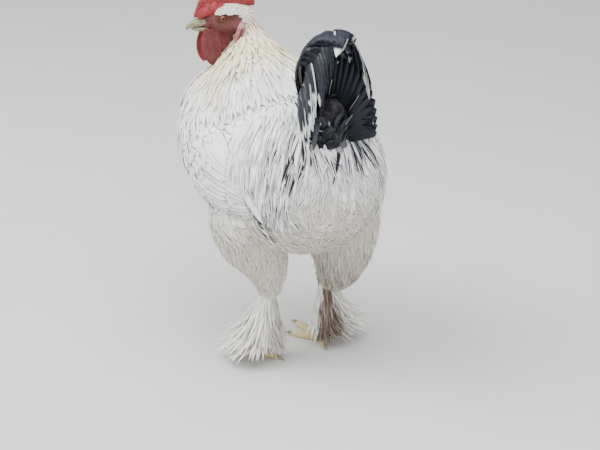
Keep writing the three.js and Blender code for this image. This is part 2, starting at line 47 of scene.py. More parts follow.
# Driving sizes
HEAD_AT = np.array([186.0, 34.0, 577.0])
HEAD_TURN = math.radians(76)
EYE = np.array([9.0, 18.0, 6.0])  # in the head's frame
EYE_RADIUS = 6.2
COAT_DEPTH = 5.0  # from the surface of the solids down to the skin
LEFT, UP = np.array([0.0, 1.0, 0.0]), np.array([0.0, 0.0, 1.0])
SIDES = ((1, "left"), (-1, "right"))


def unit(v):
    return v / np.maximum(np.linalg.norm(v, axis=-1, keepdims=True), 1e-9)


def square_to(way, axis):
    """The part of a way that is square to an axis, at length 1."""
    return unit(way - axis * (way * axis).sum(-1, keepdims=True))


def turned(angle):
    """The matrix of a turn about the upright axis."""
    c, s = math.cos(angle), math.sin(angle)
    return np.array([[c, -s, 0], [s, c, 0], [0, 0, 1]])


def from_head(points):
    """Places given in the head's frame (X along the beak, Y left, Z up) as places on the bird."""
    return np.asarray(points, float) @ turned(HEAD_TURN).T + HEAD_AT


# The CAD model is centred over the origin; the eye says by how much it was moved.
eye_low, eye_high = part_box("eye_left")
eye_here = np.array((eye_low + eye_high) / 2) * 1000
MOVED = np.array([eye_here[0] - from_head(EYE)[0], eye_here[1] - from_head(EYE)[1], 0.0])


def to_metres(points):
    return (np.asarray(points, float) + MOVED) / 1000


def spaced(many):
    """Evenly spaced from 0 to 1, as a column."""
    return np.linspace(0, 1, many)[:, None]


def around(many):
    """Angles round a section, as a row."""
    return np.linspace(0, 2 * math.pi, many, endpoint=False)[None, :]


def xyz(x, y, z):
    """Three coordinates, numbers or arrays, as places."""
    return np.stack(np.broadcast_arrays(x, y, z), -1)


def quads(a, b):
    """Faces between rings of points and the rings after them, from their indices."""
    return np.stack([a, b, np.roll(b, -1, -1), np.roll(a, -1, -1)], -1).reshape(-1, 4)


def gauss(*shape):
    """Random numbers about 0."""
    return rng.standard_normal(shape)


def mound(x, z, at, size):
    """A soft round rise: 1 in its middle, falling off over its size."""
    return np.exp(-(((x - at[0]) / size[0]) ** 2) - (((z - at[1]) / size[1]) ** 2))


def step(x, low, high):
    """0 below low, 1 above high, smooth between."""
    t = np.clip((np.asarray(x, float) - low) / (high - low), 0, 1)
    return t * t * (3 - 2 * t)


def blend(share, a, b):
    return a + np.asarray(share)[..., None] * (b - a)


def through(values, t):
    """A smooth curve through evenly spaced values, at t from 0 to 1."""
    values = np.asarray(values, float)
    spans = len(values) - 1
    place = np.clip(t, 0, 1) * spans
    i = np.minimum(np.floor(place).astype(int), spans - 1)
    u = place - i
    a, b = values[i], values[i + 1]
    before = np.where(i > 0, values[np.maximum(i - 1, 0)], 2 * a - b)
    after = np.where(i < spans - 1, values[np.minimum(i + 2, spans)], 2 * b - a)
    bend = 2 * before - 5 * a + 4 * b - after
    return a + 0.5 * u * (b - before + u * (bend + u * (3 * (a - b) + after - before)))


# ---- Forms, as in the solids ----
class Form:
    """A body with oval sections: each row is centre x, y, z, half width, reach above and below."""

    near = 0.01  # how far along and round the form its directions are measured

    def __init__(self, sections, power=2.0, upright=False):
        self.tables = np.array(sections, float).T
        self.power = power
        self.upright = upright

    def value(self, k, t):
        return through(self.tables[k], t)

    def centre(self, t):
        return np.stack([self.value(k, t) for k in range(3)], -1)

    def axes(self, t):
        shape = np.shape(t) + (3,)
        if self.upright:
            return np.broadcast_to(LEFT, shape), np.broadcast_to(UP, shape)
        ahead, behind = np.minimum(t + self.near, 1), np.maximum(t - self.near, 0)
        along = unit(self.centre(ahead) - self.centre(behind))
        side = unit(LEFT - along * (along @ LEFT)[..., None])
        return side, np.cross(along, side)

    def point(self, t, angle, grow=0.0):
        t, angle = np.broadcast_arrays(np.asarray(t, float), np.asarray(angle, float))
        side, up = self.axes(t)
        s, c = np.sin(angle), np.cos(angle)
        s = np.sign(s) * np.abs(s) ** (2 / self.power)
        c = np.sign(c) * np.abs(c) ** (2 / self.power)
        reach = np.where(c >= 0, self.value(4, t), self.value(5, t))
        reach = np.maximum(reach + grow * (reach > 1), 0)
        half = self.value(3, t)
        half = np.maximum(half + grow * (half > 1), 0)
        return self.centre(t) + (s * half)[..., None] * side + (c * reach)[..., None] * up

    def normal(self, t, angle):
        ahead, behind = np.minimum(t + self.near, 1), np.maximum(t - self.near, 0)
        along = self.point(ahead, angle) - self.point(behind, angle)
        across = self.point(t, angle + 3 * self.near) - self.point(t, angle - 3 * self.near)
        out = unit(np.cross(along, across))
        inside = ((self.point(t, angle) - self.centre(t)) * out).sum(-1, keepdims=True) < 0
        return np.where(inside, -out, out)

    def share_at(self, x):
        shares = np.linspace(0, 1, 801)
        return np.interp(x, self.value(0, shares), shares)

    def rings(self, rows, columns, grow=0.0):
        return self.point(spaced(rows + 1), around(columns), grow)


TORSO_SECTIONS = [
    [-158, 0, 336, 0, 0, 0],
    [-150, 0, 340, 50, 56, 52],
    [-126, 0, 346, 92, 98, 92],
    [-82, 0, 354, 124, 116, 126],
    [-20, 0, 361, 140, 118, 146],
    [45, 0, 368, 147, 120, 150],
    [115, 0, 380, 148, 120, 146],
    [175, 0, 397, 134, 106, 128],
    [216, 0, 412, 104, 80, 94],
    [238, 0, 422, 56, 42, 52],
    [246, 0, 426, 0, 0, 0],
]
NECK_SECTIONS = [
    [60, 0, 398, 114, 96, 104],
    [98, 2, 436, 116, 94, 108],
    [134, 2, 480, 92, 76, 88],
    [160, -3, 520, 50, 52, 54],
    [176, -5, 550, 25, 32, 27],
    [181, 5, 580, 20, 21, 16],
]
TAIL_SECTIONS = [
    [-62, 0, 430, 26, 26, 34],
    [-90, 0, 446, 38, 34, 46],
    [-112, 0, 472, 36, 30, 42],
    [-122, 0, 500, 26, 22, 28],
    [-126, 0, 526, 0, 0, 0],
]
SKULL_SECTIONS = [  # in the head's frame
    [-44, 0, -4, 0, 0, 0],
    [-38, 0, -4, 17, 18, 20],
    [-18, 0, -1, 23, 24, 29],
    [4, 0, 0, 22, 25, 28],
    [22, 0, -1, 17, 20, 21],
    [34, 0, -4, 12, 13, 14],
    [42, 0, -6, 8, 9, 9],
]
TORSO = Form(TORSO_SECTIONS, power=2.15, upright=True)
NECK, TAIL, SKULL = Form(NECK_SECTIONS), Form(TAIL_SECTIONS), Form(SKULL_SECTIONS)

# Each leg: where it stands, how far its toes turn out, its hock, how far its feathers fan out from
# the front round to the rear, how much brown it takes (mud, and on the left leg painted shade in the
# cleft of its rear feathers), and the sections of its thigh
LEFT_LEG = {
    "side": 1, "name": "left", "at": [4, 62], "turn": 8, "hock": [-12, 0, 114],
    # The left leg's brown paints shade in the cleft of its rear feathers
    "feathers": [1.1, 0.95, 0.42, 0.32, 0.5], "mud_and_shade": 0.3,
    "thigh": [
        [20, 80, 318, 46, 62, 62],
        [16, 84, 278, 66, 78, 78],
        [8, 80, 236, 62, 66, 68],
        [-3, 67, 196, 44, 48, 50],
        [-10, 60, 156, 25, 31, 34],
        [-9, 61, 128, 15, 18, 20],
        [-9, 61, 110, 0, 0, 0],
    ],
}
RIGHT_LEG = {
    "side": -1, "name": "right", "at": [2, -54], "turn": -5, "hock": [-10, 0, 112],
    "feathers": [1.15, 1.25, 0.8, 0.36, 0.3], "mud_and_shade": 1.0,
    "thigh": [
        [10, -80, 318, 46, 62, 62],
        [2, -88, 278, 66, 78, 78],
        [-8, -90, 236, 68, 68, 70],
        [-16, -87, 196, 60, 52, 54],
        [-18, -78, 156, 46, 38, 44],
        [-14, -65, 126, 30, 26, 32],
        [-9, -56, 104, 0, 0, 0],
    ],
}
LEGS = (LEFT_LEG, RIGHT_LEG)


def leg_turn(leg, aim=0.0):
    """The turn from a leg's own frame, or a toe's, to the bird's."""
    return turned(leg["side"] * math.radians(leg["turn"] - aim)).T


def stand(leg, points, aim=0.0):
    """Places in a leg's own frame, or a toe's, as places on the bird."""
    return points @ leg_turn(leg, aim) + np.array([*leg["at"], 0.0])


# ---- Meshes ----
def add_object(name, data):
    made = bpy.data.objects.new(name, data)
    bpy.context.scene.collection.objects.link(made)
    return made


def show(made, material):
    """Gives a mesh object its material and smooth shading."""
    made.data.polygons.foreach_set("use_smooth", [True] * len(made.data.polygons))
    made.data.materials.append(material)


def make_object(name, points, faces, material):
    """A mesh object from places in millimetres."""
    data = bpy.data.meshes.new(name)
    data.from_pydata(to_metres(points).tolist(), [], faces)
    data.validate()
    made = add_object(name, data)
    show(made, material)
    return made


def tube(rings):
    """Points and faces of a closed tube through rings of points, with a fan at each end."""
    points = np.concatenate([rings.reshape(-1, 3), [rings[0].mean(0)], [rings[-1].mean(0)]])
    grid = np.arange(len(points) - 2).reshape(rings.shape[:2])
    faces = quads(grid[:-1], grid[1:]).tolist()
    start, end = len(points) - 2, len(points) - 1
    for a, b, c, d in zip(grid[0], np.roll(grid[0], -1), grid[-1], np.roll(grid[-1], -1)):
        faces += [(start, int(a), int(b)), (end, int(d), int(c))]
    return points, faces


def merge(parts):
    """Several (points, faces) as one."""
    points, faces, first = [], [], 0
    for part_points, part_faces in parts:
        points.append(part_points)
        faces += [tuple(first + i for i in face) for face in part_faces]
        first += len(part_points)
    return np.concatenate(points), faces


def places(made):
    """An object's places in millimetres in the bird's frame."""
    found = np.zeros(len(made.data.vertices) * 3)
    made.data.vertices.foreach_get("co", found)
    return found.reshape(-1, 3) * 1000 - MOVED


def give(made, name, values):
    """Writes a number or a colour to each point."""
    if values.ndim == 1:
        layer, key = made.data.attributes.new(name, "FLOAT", "POINT"), "value"
    else:
        layer, key = made.data.attributes.new(name, "FLOAT_COLOR", "POINT"), "color"
        values = np.c_[values, np.ones(len(values))]
    layer.data.foreach_set(key, np.ascontiguousarray(values, np.float32).ravel())


MAP_AXIS, MAP_REAR, MAP_LENGTH, MAP_WIDTH = 330, -220, 500, 400


def unwrap(points):
    """A place on the whole bird's unwrap: round the body, and along it from tail to bill."""
    x, y, z = points[..., 0], points[..., 1], points[..., 2]
    u = 0.5 + np.arctan2(y, z - MAP_AXIS) / (2 * math.pi)
    v = (x - MAP_REAR) / MAP_LENGTH
    above_legs = step(z, 150, 260)
    u = u * above_legs + (0.5 + y / MAP_WIDTH) * (1 - above_legs)
    return np.clip(np.stack([u, v], -1), 0, 1)


def give_bake_map(made, coordinates):
    """Writes the OFBake map: one place per point."""
    data = made.data
    layer = data.uv_layers.new(name="OFBake")
    loops = np.zeros(len(data.loops), np.int32)
    data.loops.foreach_get("vertex_index", loops)
    layer.data.foreach_set("uv", coordinates[loops].astype(np.float32).ravel())


def finish_piece(made, slot, *nodes):
    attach(made, "root")
    if nodes:
        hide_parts(*nodes)


def soft_piece(name, parts, material, layer, color, voxel, smooth):
    """One object from several parts, with a colour at each point, and its places.
    It is remeshed to voxels of a size in metres, unless that is 0, and smoothed in rounds."""
    made = make_object(name, *merge(parts), material)
    if voxel:
        remesh = made.modifiers.new("remesh", "REMESH")
        remesh.mode = "VOXEL"
        remesh.voxel_size = voxel
    soften = made.modifiers.new("soften", "SMOOTH")
    soften.iterations = smooth
    shaped = made.evaluated_get(bpy.context.evaluated_depsgraph_get())
    made.data = bpy.data.meshes.new_from_object(shaped)
    made.modifiers.clear()
    made.data.materials.clear()
    show(made, material)
    found = places(made)
    give(made, layer, color(found) if callable(color) else np.broadcast_to(color, found.shape))
    give_bake_map(made, unwrap(found))
    return made, found


# ---- Materials ----
class Nodes:
    """Short calls for building a material's nodes."""

    def __init__(self, name):
        self.material = bpy.data.materials.new(name)
        self.material.use_nodes = True
        self.tree = self.material.node_tree
        self.shader = self.tree.nodes["Principled BSDF"]

    def put(self, socket, value):
        if isinstance(value, bpy.types.NodeSocket):
            self.tree.links.new(value, socket)
        else:
            socket.default_value = value

    def node(self, kind, **inputs):
        made = self.tree.nodes.new(kind)
        for key, value in inputs.items():
            self.put(made.inputs[key.replace("_", " ")], value)
        return made

    def math(self, operation, *values):
        made = self.tree.nodes.new("ShaderNodeMath")
        made.operation = operation
        for socket, value in zip(made.inputs, values):
            self.put(socket, value)
        return made.outputs[0]

    def times(self, a, b):
        return self.math("MULTIPLY", a, b)

    def rest(self, share):
        return self.math("SUBTRACT", 1.0, share)

    def ramp(self, value, low, high):
        """0 below low, 1 above high, smooth between."""
        made = self.node("ShaderNodeMapRange", Value=value, From_Min=low, From_Max=high)
        made.interpolation_type = "SMOOTHSTEP"
        return made.outputs["Result"]

    def mix(self, share, a, b, blend_type="MIX"):
        made = self.tree.nodes.new("ShaderNodeMix")
        made.data_type = "RGBA"
        made.blend_type = blend_type
        for k, value in ((0, share), (6, a), (7, b)):
            self.put(made.inputs[k], value)
        return made.outputs[2]

    def attribute(self, name, output="Fac"):
        made = self.tree.nodes.new("ShaderNodeAttribute")
        made.attribute_name = name
        return made.outputs[output]

    def texture(self, kind, output, **inputs):
        made = self.node(kind, **inputs)
        self.put(made.inputs["Vector"], self.node("ShaderNodeTexCoord").outputs["Object"])
        return made.outputs[output]

    def noise(self, scale, detail=4.0):
        return self.texture("ShaderNodeTexNoise", "Fac", Scale=scale, Detail=detail)

    def cells(self, scale):
        return self.texture("ShaderNodeTexVoronoi", "Distance", Scale=scale)

    def bump(self, height, strength, distance):
        made = self.node("ShaderNodeBump", Height=height, Strength=strength, Distance=distance)
        self.put(self.shader.inputs["Normal"], made.outputs["Normal"])

    def finish(self, color, roughness, **constants):
        self.put(self.shader.inputs["Base Color"], color)
        self.put(self.shader.inputs["Roughness"], roughness)
        for key, value in constants.items():
            self.shader.inputs[key.replace("_", " ")].default_value = value
        return self.material


# Colours that materials mix in over the colour of the points
LACING, TICK = (0.8, 0.81, 0.81, 1), (0.012, 0.013, 0.018, 1)
SKIN_SHADE = (0.45, 0.42, 0.38, 1)
FLESH_LIGHT, FLESH_DARK = (0.6, 0.2, 0.18, 1), (0.13, 0.01, 0.015, 1)
SCALE_EDGE, SCALE_MIDDLE, SCALE_WORN = (0.80, 0.65, 0.30, 1), (0.46, 0.30, 0.10, 1), (0.66, 0.55, 0.36, 1)
MUD_DARK, MUD_LIGHT = (0.05, 0.033, 0.02, 1), (0.2, 0.13, 0.08, 1)
HORN_LIGHT, HORN_DARK = (0.30, 0.27, 0.16, 1), (0.13, 0.12, 0.075, 1)
IRIS_LIGHT, IRIS_DARK = (0.30, 0.09, 0.015, 1), (0.14, 0.035, 0.008, 1)
PUPIL, EYE_RIM = (0.003, 0.003, 0.003, 1), (0.012, 0.006, 0.004, 1)


def plumage_material(name, roughness, **constants):
    """Feathers: their own colour, white lacing, black ticks, a raised shaft and slanting barbs."""
    n = Nodes(name)
    along, across, lace, tick = (n.attribute(key) for key in ("along", "across", "lace", "tick"))
    off = n.math("ABSOLUTE", across)
    rim = n.math("MAXIMUM", n.ramp(off, 0.74, 0.86), n.ramp(along, 0.9, 0.95))
    color = n.mix(n.times(rim, lace), n.attribute("plume", "Color"), LACING)
    bar = n.times(n.ramp(along, 0.4, 0.55), n.rest(n.ramp(off, 0.25, 0.5)))
    bar = n.times(bar, n.rest(n.ramp(along, 0.86, 0.95)))
    color = n.mix(n.times(bar, tick), color, TICK)
    slant = n.math("ADD", n.times(along, 70.0), n.times(off, -9.0))
    barbs = n.math("SINE", n.times(slant, 2.2))
    shade = n.math("MULTIPLY_ADD", n.noise(900.0, 3.0), 0.08, 0.95)
    shade = n.math("MULTIPLY_ADD", barbs, 0.02, shade)
    gray = n.node("ShaderNodeCombineColor", Red=shade, Green=shade, Blue=shade).outputs["Color"]
    shaft = n.rest(n.ramp(off, 0.02, 0.1))
    n.bump(n.math("MULTIPLY_ADD", shaft, 0.8, n.times(barbs, 0.3)), strength=0.35, distance=0.0006)
    return n.finish(n.mix(1.0, color, gray, "MULTIPLY"), roughness, **constants)


def coat_skin_material():
    """The skin under the feathers, in the colours of the coat."""
    n = Nodes("coat_skin")
    color = n.attribute("plume", "Color")
    color = n.mix(n.ramp(n.noise(160.0, 6.0), 0.3, 0.7), color, n.mix(0.12, color, SKIN_SHADE))
    n.bump(n.noise(700.0, 5.0), strength=0.6, distance=0.001)
    return n.finish(color, 0.9)


def flesh_material():
    """Red pebbled skin of the comb, face, wattles and ear lobes."""
    n = Nodes("flesh")
    tint = n.attribute("tint", "Color")
    pebbles = n.cells(620.0)
    color = n.mix(n.ramp(pebbles, 0.1, 0.75), n.mix(0.22, tint, FLESH_LIGHT), tint)
    color = n.mix(n.ramp(n.noise(70.0, 3.0), 0.35, 0.75), color, n.mix(0.45, color, FLESH_DARK))
    height = n.math("SUBTRACT", n.times(n.noise(900.0), 0.5), n.times(pebbles, 0.9))
    height = n.math("ADD", height, n.times(n.noise(240.0, 3.0), 1.6))
    n.bump(height, strength=0.85, distance=0.0016)
    return n.finish(color, 0.55, Specular_IOR_Level=0.35)


def scale_material():
    """Yellow scaled skin of the feet, with mud where the attribute says."""
    n = Nodes("scales")
    plates = n.cells(230.0)
    grit = n.noise(420.0, 6.0)
    color = n.mix(n.ramp(plates, 0.2, 0.8), SCALE_EDGE, SCALE_MIDDLE)
    color = n.mix(n.ramp(n.noise(60.0), 0.4, 0.7), color, SCALE_WORN)
    patches = n.math("ADD", n.attribute("mud_and_shade"), n.math("MULTIPLY_ADD", grit, 0.9, -0.5))
    dirty = n.ramp(patches, 0.3, 0.75)
    color = n.mix(dirty, color, n.mix(grit, MUD_DARK, MUD_LIGHT))
    n.bump(n.math("MULTIPLY_ADD", plates, -0.8, n.times(grit, 0.4)), strength=0.6, distance=0.0012)
    return n.finish(color, n.math("MULTIPLY_ADD", dirty, 0.3, 0.5))


def horn_material():
    """Streaked horn of the beak and the claws."""
    n = Nodes("horn_finish")
    color = n.mix(n.ramp(n.noise(240.0, 5.0), 0.35, 0.7), HORN_LIGHT, HORN_DARK)
    n.bump(n.noise(900.0, 3.0), strength=0.25, distance=0.0004)
    return n.finish(color, 0.36)


def eye_material():
    """A dark pupil in an orange-brown iris, by the distance from the eye's own axis."""
    n = Nodes("eye_finish")
    ring = n.attribute("ring")
    iris = n.mix(n.noise(1800.0, 3.0), IRIS_LIGHT, IRIS_DARK)
    color = n.mix(n.ramp(ring, 0.44, 0.49), PUPIL, iris)
    color = n.mix(n.ramp(ring, 0.74, 0.9), color, EYE_RIM)
    return n.finish(color, 0.16, Specular_IOR_Level=0.35, Coat_Weight=0.25, Coat_Roughness=0.08)


PLUMAGE = plumage_material("plumage", 0.7, Sheen_Weight=0.15, Specular_IOR_Level=0.2)
DARK_PLUMAGE = plumage_material(
    "dark_plumage", 0.45, Specular_IOR_Level=0.4, Specular_Tint=(0.8, 0.88, 1.0, 1)
)
COAT_SKIN = coat_skin_material()
FLESH = flesh_material()
SCALES = scale_material()
HORN = horn_material()
EYE_FINISH = eye_material()

# ---- Plumage colours and where they are ----
WHITE = np.array([0.90, 0.905, 0.91])
CREAM = np.array([0.89, 0.78, 0.52])
FLUFF_IN_SHADE = np.array([0.79, 0.745, 0.65])
BLACK = np.array([0.010, 0.011, 0.016])
SOFT_BLACK = BLACK * 1.6
# Brown of mud, also used as painted shade in the cleft of the left leg's feathers
MUD_AND_SHADE_BROWN = np.array([0.12, 0.07, 0.033])


def plume_color(p):
    """The ground colour of the plumage, with painted shade greying the fluff beneath the body and at the
    rear; each step says between which places it fades in.
    """
    x, y, z = p[..., 0], p[..., 1], p[..., 2]
    color = np.broadcast_to(WHITE, p.shape).copy()
    on_neck = step(z, 455, 530) * step(x, 80, 120)
    color = blend(0.85 * on_neck * (1 - step(z, 572, 592)), color, CREAM)
    # The low body and the rear take the fluff's cream, greyed as painted shade beneath the bird
    below = 1 - step(z, 262, 330)
    rear = 1 - step(x, -60, 10)
    color = blend(np.clip(0.8 * below + 0.75 * rear * (1 - step(z, 345, 400)), 0, 0.9), color, FLUFF_IN_SHADE)
    tail = (1 - step(x, -92, -66)) * step(z, 440, 458) * (1 - step(np.abs(y), 44, 58))
    color = blend(tail, color, BLACK)
    right_leg = (1 - step(y, -25, 0)) * (1 - step(z, 140, 250))
    patches = 0.5 + 0.5 * np.sin(0.19 * x + 0.15 * z) * np.sin(0.16 * y - 0.21 * z)
    return blend(0.95 * right_leg * patches, color, MUD_AND_SHADE_BROWN * 1.5)


# ---- Skin ----
WING_FRONT, WING_REAR = 166.0, -82.0
# From the wing's front to its rear: the angles of its upper and lower edge, and its thickness
WING_TOP = [84, 60, 55, 58, 68, 78]
WING_FOOT = [94, 118, 122, 118, 112, 102]
WING_THICK = [3, 13, 15, 12, 8, 3]
WING_SUNK = 12  # how deep the skin under a wing reaches into the torso


def on_wing(side, u, v):
    """Share and angle on the torso, and thickness, of a place on a wing."""
    u, v = np.asarray(u, float), np.asarray(v, float)
    top, foot = through(WING_TOP, u), through(WING_FOOT, u)
    share = TORSO.share_at(WING_FRONT + (WING_REAR - WING_FRONT) * u)
    thick = (1 - 0.85 * np.abs(2 * v - 1) ** 2.5) * through(WING_THICK, u)
    return share, side * np.radians(top + (foot - top) * v), thick


def wing_place(side, u, v, lift):
    share, angle, thick = on_wing(side, u, v)
    normal = TORSO.normal(share, angle)
    return TORSO.point(share, angle) + normal * (thick + lift)[..., None], normal


def wing_pad(side):
    u, v = np.meshgrid(np.linspace(0.02, 0.98, 10), np.linspace(0, 1, 8), indexing="ij")
    outer, normal = wing_place(side, u, v, np.full(u.shape, -COAT_DEPTH))
    inner = outer - normal * (on_wing(side, u, v)[2] + WING_SUNK)[..., None]
    return tube(np.concatenate([outer, inner[:, ::-1]], 1))


# Closed ends of the forms are left off, because each tube closes itself
skin_parts = [
    tube(TORSO.rings(40, 48, -COAT_DEPTH)[1:-1]),
    tube(NECK.rings(24, 32, -COAT_DEPTH)),
    tube(TAIL.rings(12, 20, -3)[:-1]),
    wing_pad(1),
    wing_pad(-1),
    tube(from_head(SKULL.rings(20, 28, -3.5)[1:])),
]
skin_parts += [tube(Form(leg["thigh"]).rings(20, 24, -COAT_DEPTH)[:-1]) for leg in LEGS]
# The skin, seen only between the feathers, is painted a little darker than them as shade beneath the coat
skin, skin_points = soft_piece(
    "skin", skin_parts, COAT_SKIN, "plume", lambda p: plume_color(p) * 0.96, voxel=0.0055, smooth=6
)
finish_piece(skin, "white_plumage", "torso", "neck", "thigh_left", "thigh_right")

skin_faces = [tuple(p.vertices) for p in skin.data.polygons]
SKIN_TREE = BVHTree.FromPolygons([tuple(p) for p in skin_points], skin_faces)


def on_skin(points):
    """The nearest places on the skin, and their normals."""
    flat = points.reshape(-1, 3)
    found, normals = np.empty_like(flat), np.empty_like(flat)
    for i, p in enumerate(flat):
        found[i], normals[i] = SKIN_TREE.find_nearest(Vector(p))[:2]
    return found.reshape(points.shape), normals.reshape(points.shape)


# ---- Feathers ----
# Places round a vane's section: how far across, how high, and 1 where it is the underside
BROAD = np.array([[-1.0, 0, 0], [-0.5, 0.75, 0], [0, 1, 0], [0.5, 0.75, 0], [1, 0, 0], [0, 1, 1]]).T
SLIM = np.array([[-1.0, 0, 0], [0, 1, 0], [1, 0, 0], [0, 0.2, 1]]).T
PATCH = 0.003  # the size of one feather on the bake map
TONES = 0.05  # how much feathers differ in lightness
ROOT_DEPTH = 2.5  # how deep a root sits in the skin


def draws(many, spread):
    """Factors about 1."""
    return 1 + spread * rng.uniform(-1, 1, many)


def scattered(way, spread):
    """Ways that each lean off a little."""
    return unit(way + spread * gauss(*way.shape))


def blunt(stops, root=0.45):
    """Half width along a rounded feather, as a share of its widest."""
    t = np.linspace(0, 1, stops)
    return (root + (1 - root) * step(t, 0, 0.45)) * np.sqrt(np.clip(1 - t**5, 0, 1)) + 0.015


def pointed(stops, root=0.6):
    """Half width along a lance-shaped feather."""
    t = np.linspace(0, 1, stops)
    return (root + (1 - root) * step(t, 0, 0.3)) * np.clip(1 - t**2.4, 0, 1) + 0.02


def bow(root, knee, tip, stops):
    """Curves from roots past knees to tips."""
    t = np.linspace(0, 1, stops)[None, :, None]
    root, knee, tip = root[:, None], knee[:, None], tip[:, None]
    return root * (1 - t) ** 2 + 2 * knee * t * (1 - t) + tip * t**2


class Coat:
    """Gathers vanes of one section and turns them into one mesh."""

    def __init__(self, name, slot, nodes=(), material=PLUMAGE, section=BROAD):
        self.name, self.slot, self.nodes = name, slot, nodes
        self.material, self.section = material, section
        self.count = 0
        keys = ("points", "faces", "plume", "along", "across", "lace", "tick", "map")
        self.store = {key: [] for key in keys}

    def add(self, path, normals, half, color, lace=0.0, tick=0.0, thick=0.5, crown=0.25, roll=0.0):
        """path: feathers x stops x 3, half: feathers x stops. The last stop is the tip."""
        many, stops = half.shape

        def each(value):
            return np.broadcast_to(np.asarray(value, float), (many,))[:, None, None]

        normals = np.broadcast_to(normals, path.shape)
        tangent = unit(np.gradient(path, axis=1))
        out = square_to(normals, tangent)
        side = np.cross(out, tangent)
        roll = each(roll)
        out, side = out * np.cos(roll) + side * np.sin(roll), side * np.cos(roll) - out * np.sin(roll)
        across, height, under = self.section
        rings = (
            path[:, :, None]
            + side[:, :, None] * (half[..., None] * across)[..., None]
            + out[:, :, None] * (half[..., None] * crown * height - under * thick)[..., None]
        )
        shape = (many, stops, len(across))
        grid = np.arange(math.prod(shape)).reshape(shape)
        self.store["faces"].append(quads(grid[:, :-1], grid[:, 1:]) + self.count)
        self.count += grid.size
        t = np.linspace(0, 1, stops)[None, :, None]
        tone = 1 + TONES * gauss(many, 1)
        color = np.clip(np.broadcast_to(color, (many, 3)) * tone, 0, 1)
        patch = np.stack(np.broadcast_arrays(across[None, None] * 0.5, t - 0.5), -1)
        patch = unwrap(path[:, :1])[:, :, None] + PATCH * patch
        numbers = {"along": t, "across": across, "lace": each(lace), "tick": each(tick)}
        for key, value in numbers.items():
            self.store[key].append(np.broadcast_to(value, shape).ravel())
        for key, value in {"points": rings, "plume": color[:, None, None], "map": patch}.items():
            size = value.shape[-1]
            self.store[key].append(np.broadcast_to(value, (*shape, size)).reshape(-1, size))

    def lay(self, points, normals, way, length, lift, half, color, **more):
        """Adds feathers that follow the skin from their roots and rise from it towards their tips."""
        many, stops = half.shape
        path, facing = np.empty((many, stops, 3)), np.empty((many, stops, 3))
        place, normal = points, normals
        for i in range(stops):
            t = i / (stops - 1)
            rise = -ROOT_DEPTH + (lift + ROOT_DEPTH) * t**0.75
            path[:, i] = place + normal * rise[:, None]
            facing[:, i] = normal
            way = square_to(way, normal)
            place, normal = on_skin(place + way * (length / (stops - 1))[:, None])
        self.add(path, facing, half, color, **more)

    def build(self):
        store = {key: np.concatenate(values) for key, values in self.store.items()}
        points, faces, maps = (store.pop(key) for key in ("points", "faces", "map"))
        made = make_object(self.name, points, faces.tolist(), self.material)
        for key, values in store.items():
            give(made, key, values)
        give_bake_map(made, np.clip(maps, 0, 1))
        finish_piece(made, self.slot, *self.nodes)


def spread_roots(spacing, wanted):
    """Evenly scattered places on the skin where wanted(p) is above a draw, at least a spacing apart."""
    tries_per_place, jitter = 2.2, 3
    faces = skin.data.polygons
    areas = np.array([f.area for f in faces]) * 1e6
    centres = np.array([tuple(f.center) for f in faces]) * 1000 - MOVED
    chance = areas * (wanted(centres) > 0.02)
    many = int(chance.sum() / spacing**2 * tries_per_place)
    picks = rng.choice(len(chance), many, p=chance / chance.sum())
    points, normals = on_skin(centres[picks] + rng.uniform(-jitter, jitter, (many, 3)))
    keep, cells = [], {}
    steps = (-1, 0, 1)
    for i in np.flatnonzero(wanted(points) > rng.random(many)):
        p = points[i]
        x, y, z = np.floor(p / spacing).astype(int)
        near = (cells.get((x + a, y + b, z + c), ()) for a in steps for b in steps for c in steps)
        if any(np.sum((points[j] - p) ** 2) < spacing**2 for group in near for j in group):
            continue
        cells.setdefault((x, y, z), []).append(i)
        keep.append(i)
    return points[keep], normals[keep]


def lie_at(p):
    """The way the coat lies at places on the body."""
    x, y, z = p[..., 0], p[..., 1], p[..., 2]
    side = np.sign(y) * step(np.abs(y), 0, 60)

    def leaning(forward, outward, upward):
        return xyz(forward, outward * side, upward)

    way = blend(step(x, 110, 190), leaning(-1, 0.3, -0.35), leaning(-0.45, 0.15, -1))
    way = blend((1 - step(x, -10, 50)) * step(z, 330, 400), way, leaning(-0.6, 0.8, -0.75))
    way = blend(1 - step(z, 230, 290), way, leaning(-0.25, 0, -1))
    way = blend(step(z, 455, 500) * step(x, 70, 110), way, leaning(-0.6, 0.5, -0.9))
    return unit(way)


def body_coat():
    """Small rounded feathers over the breast, back, shoulders and sides."""
    spacing, length, lift, half, stops = 6.9, 38, 5.2, 8.6, 6

    def wanted(p):
        body = step(p[..., 2], 268, 312) * (1 - step(p[..., 2], 525, 555))
        return body * (1 - 0.9 * (1 - step(p[..., 0], -120, -85)))

    points, normals = spread_roots(spacing, wanted)
    many = len(points)
    size = 1 - 0.5 * step(points[:, 2], 470, 545)
    coat = Coat("body_feathers", "white_plumage")
    coat.lay(
        points,
        normals,
        scattered(lie_at(points), 0.1),
        length * size * draws(many, 0.2),
        lift * draws(many, 0.3),
        (half * size * draws(many, 0.15))[:, None] * blunt(stops),
        plume_color(points),
        crown=0.16,
        roll=0.1 * gauss(many),
    )
    coat.build()


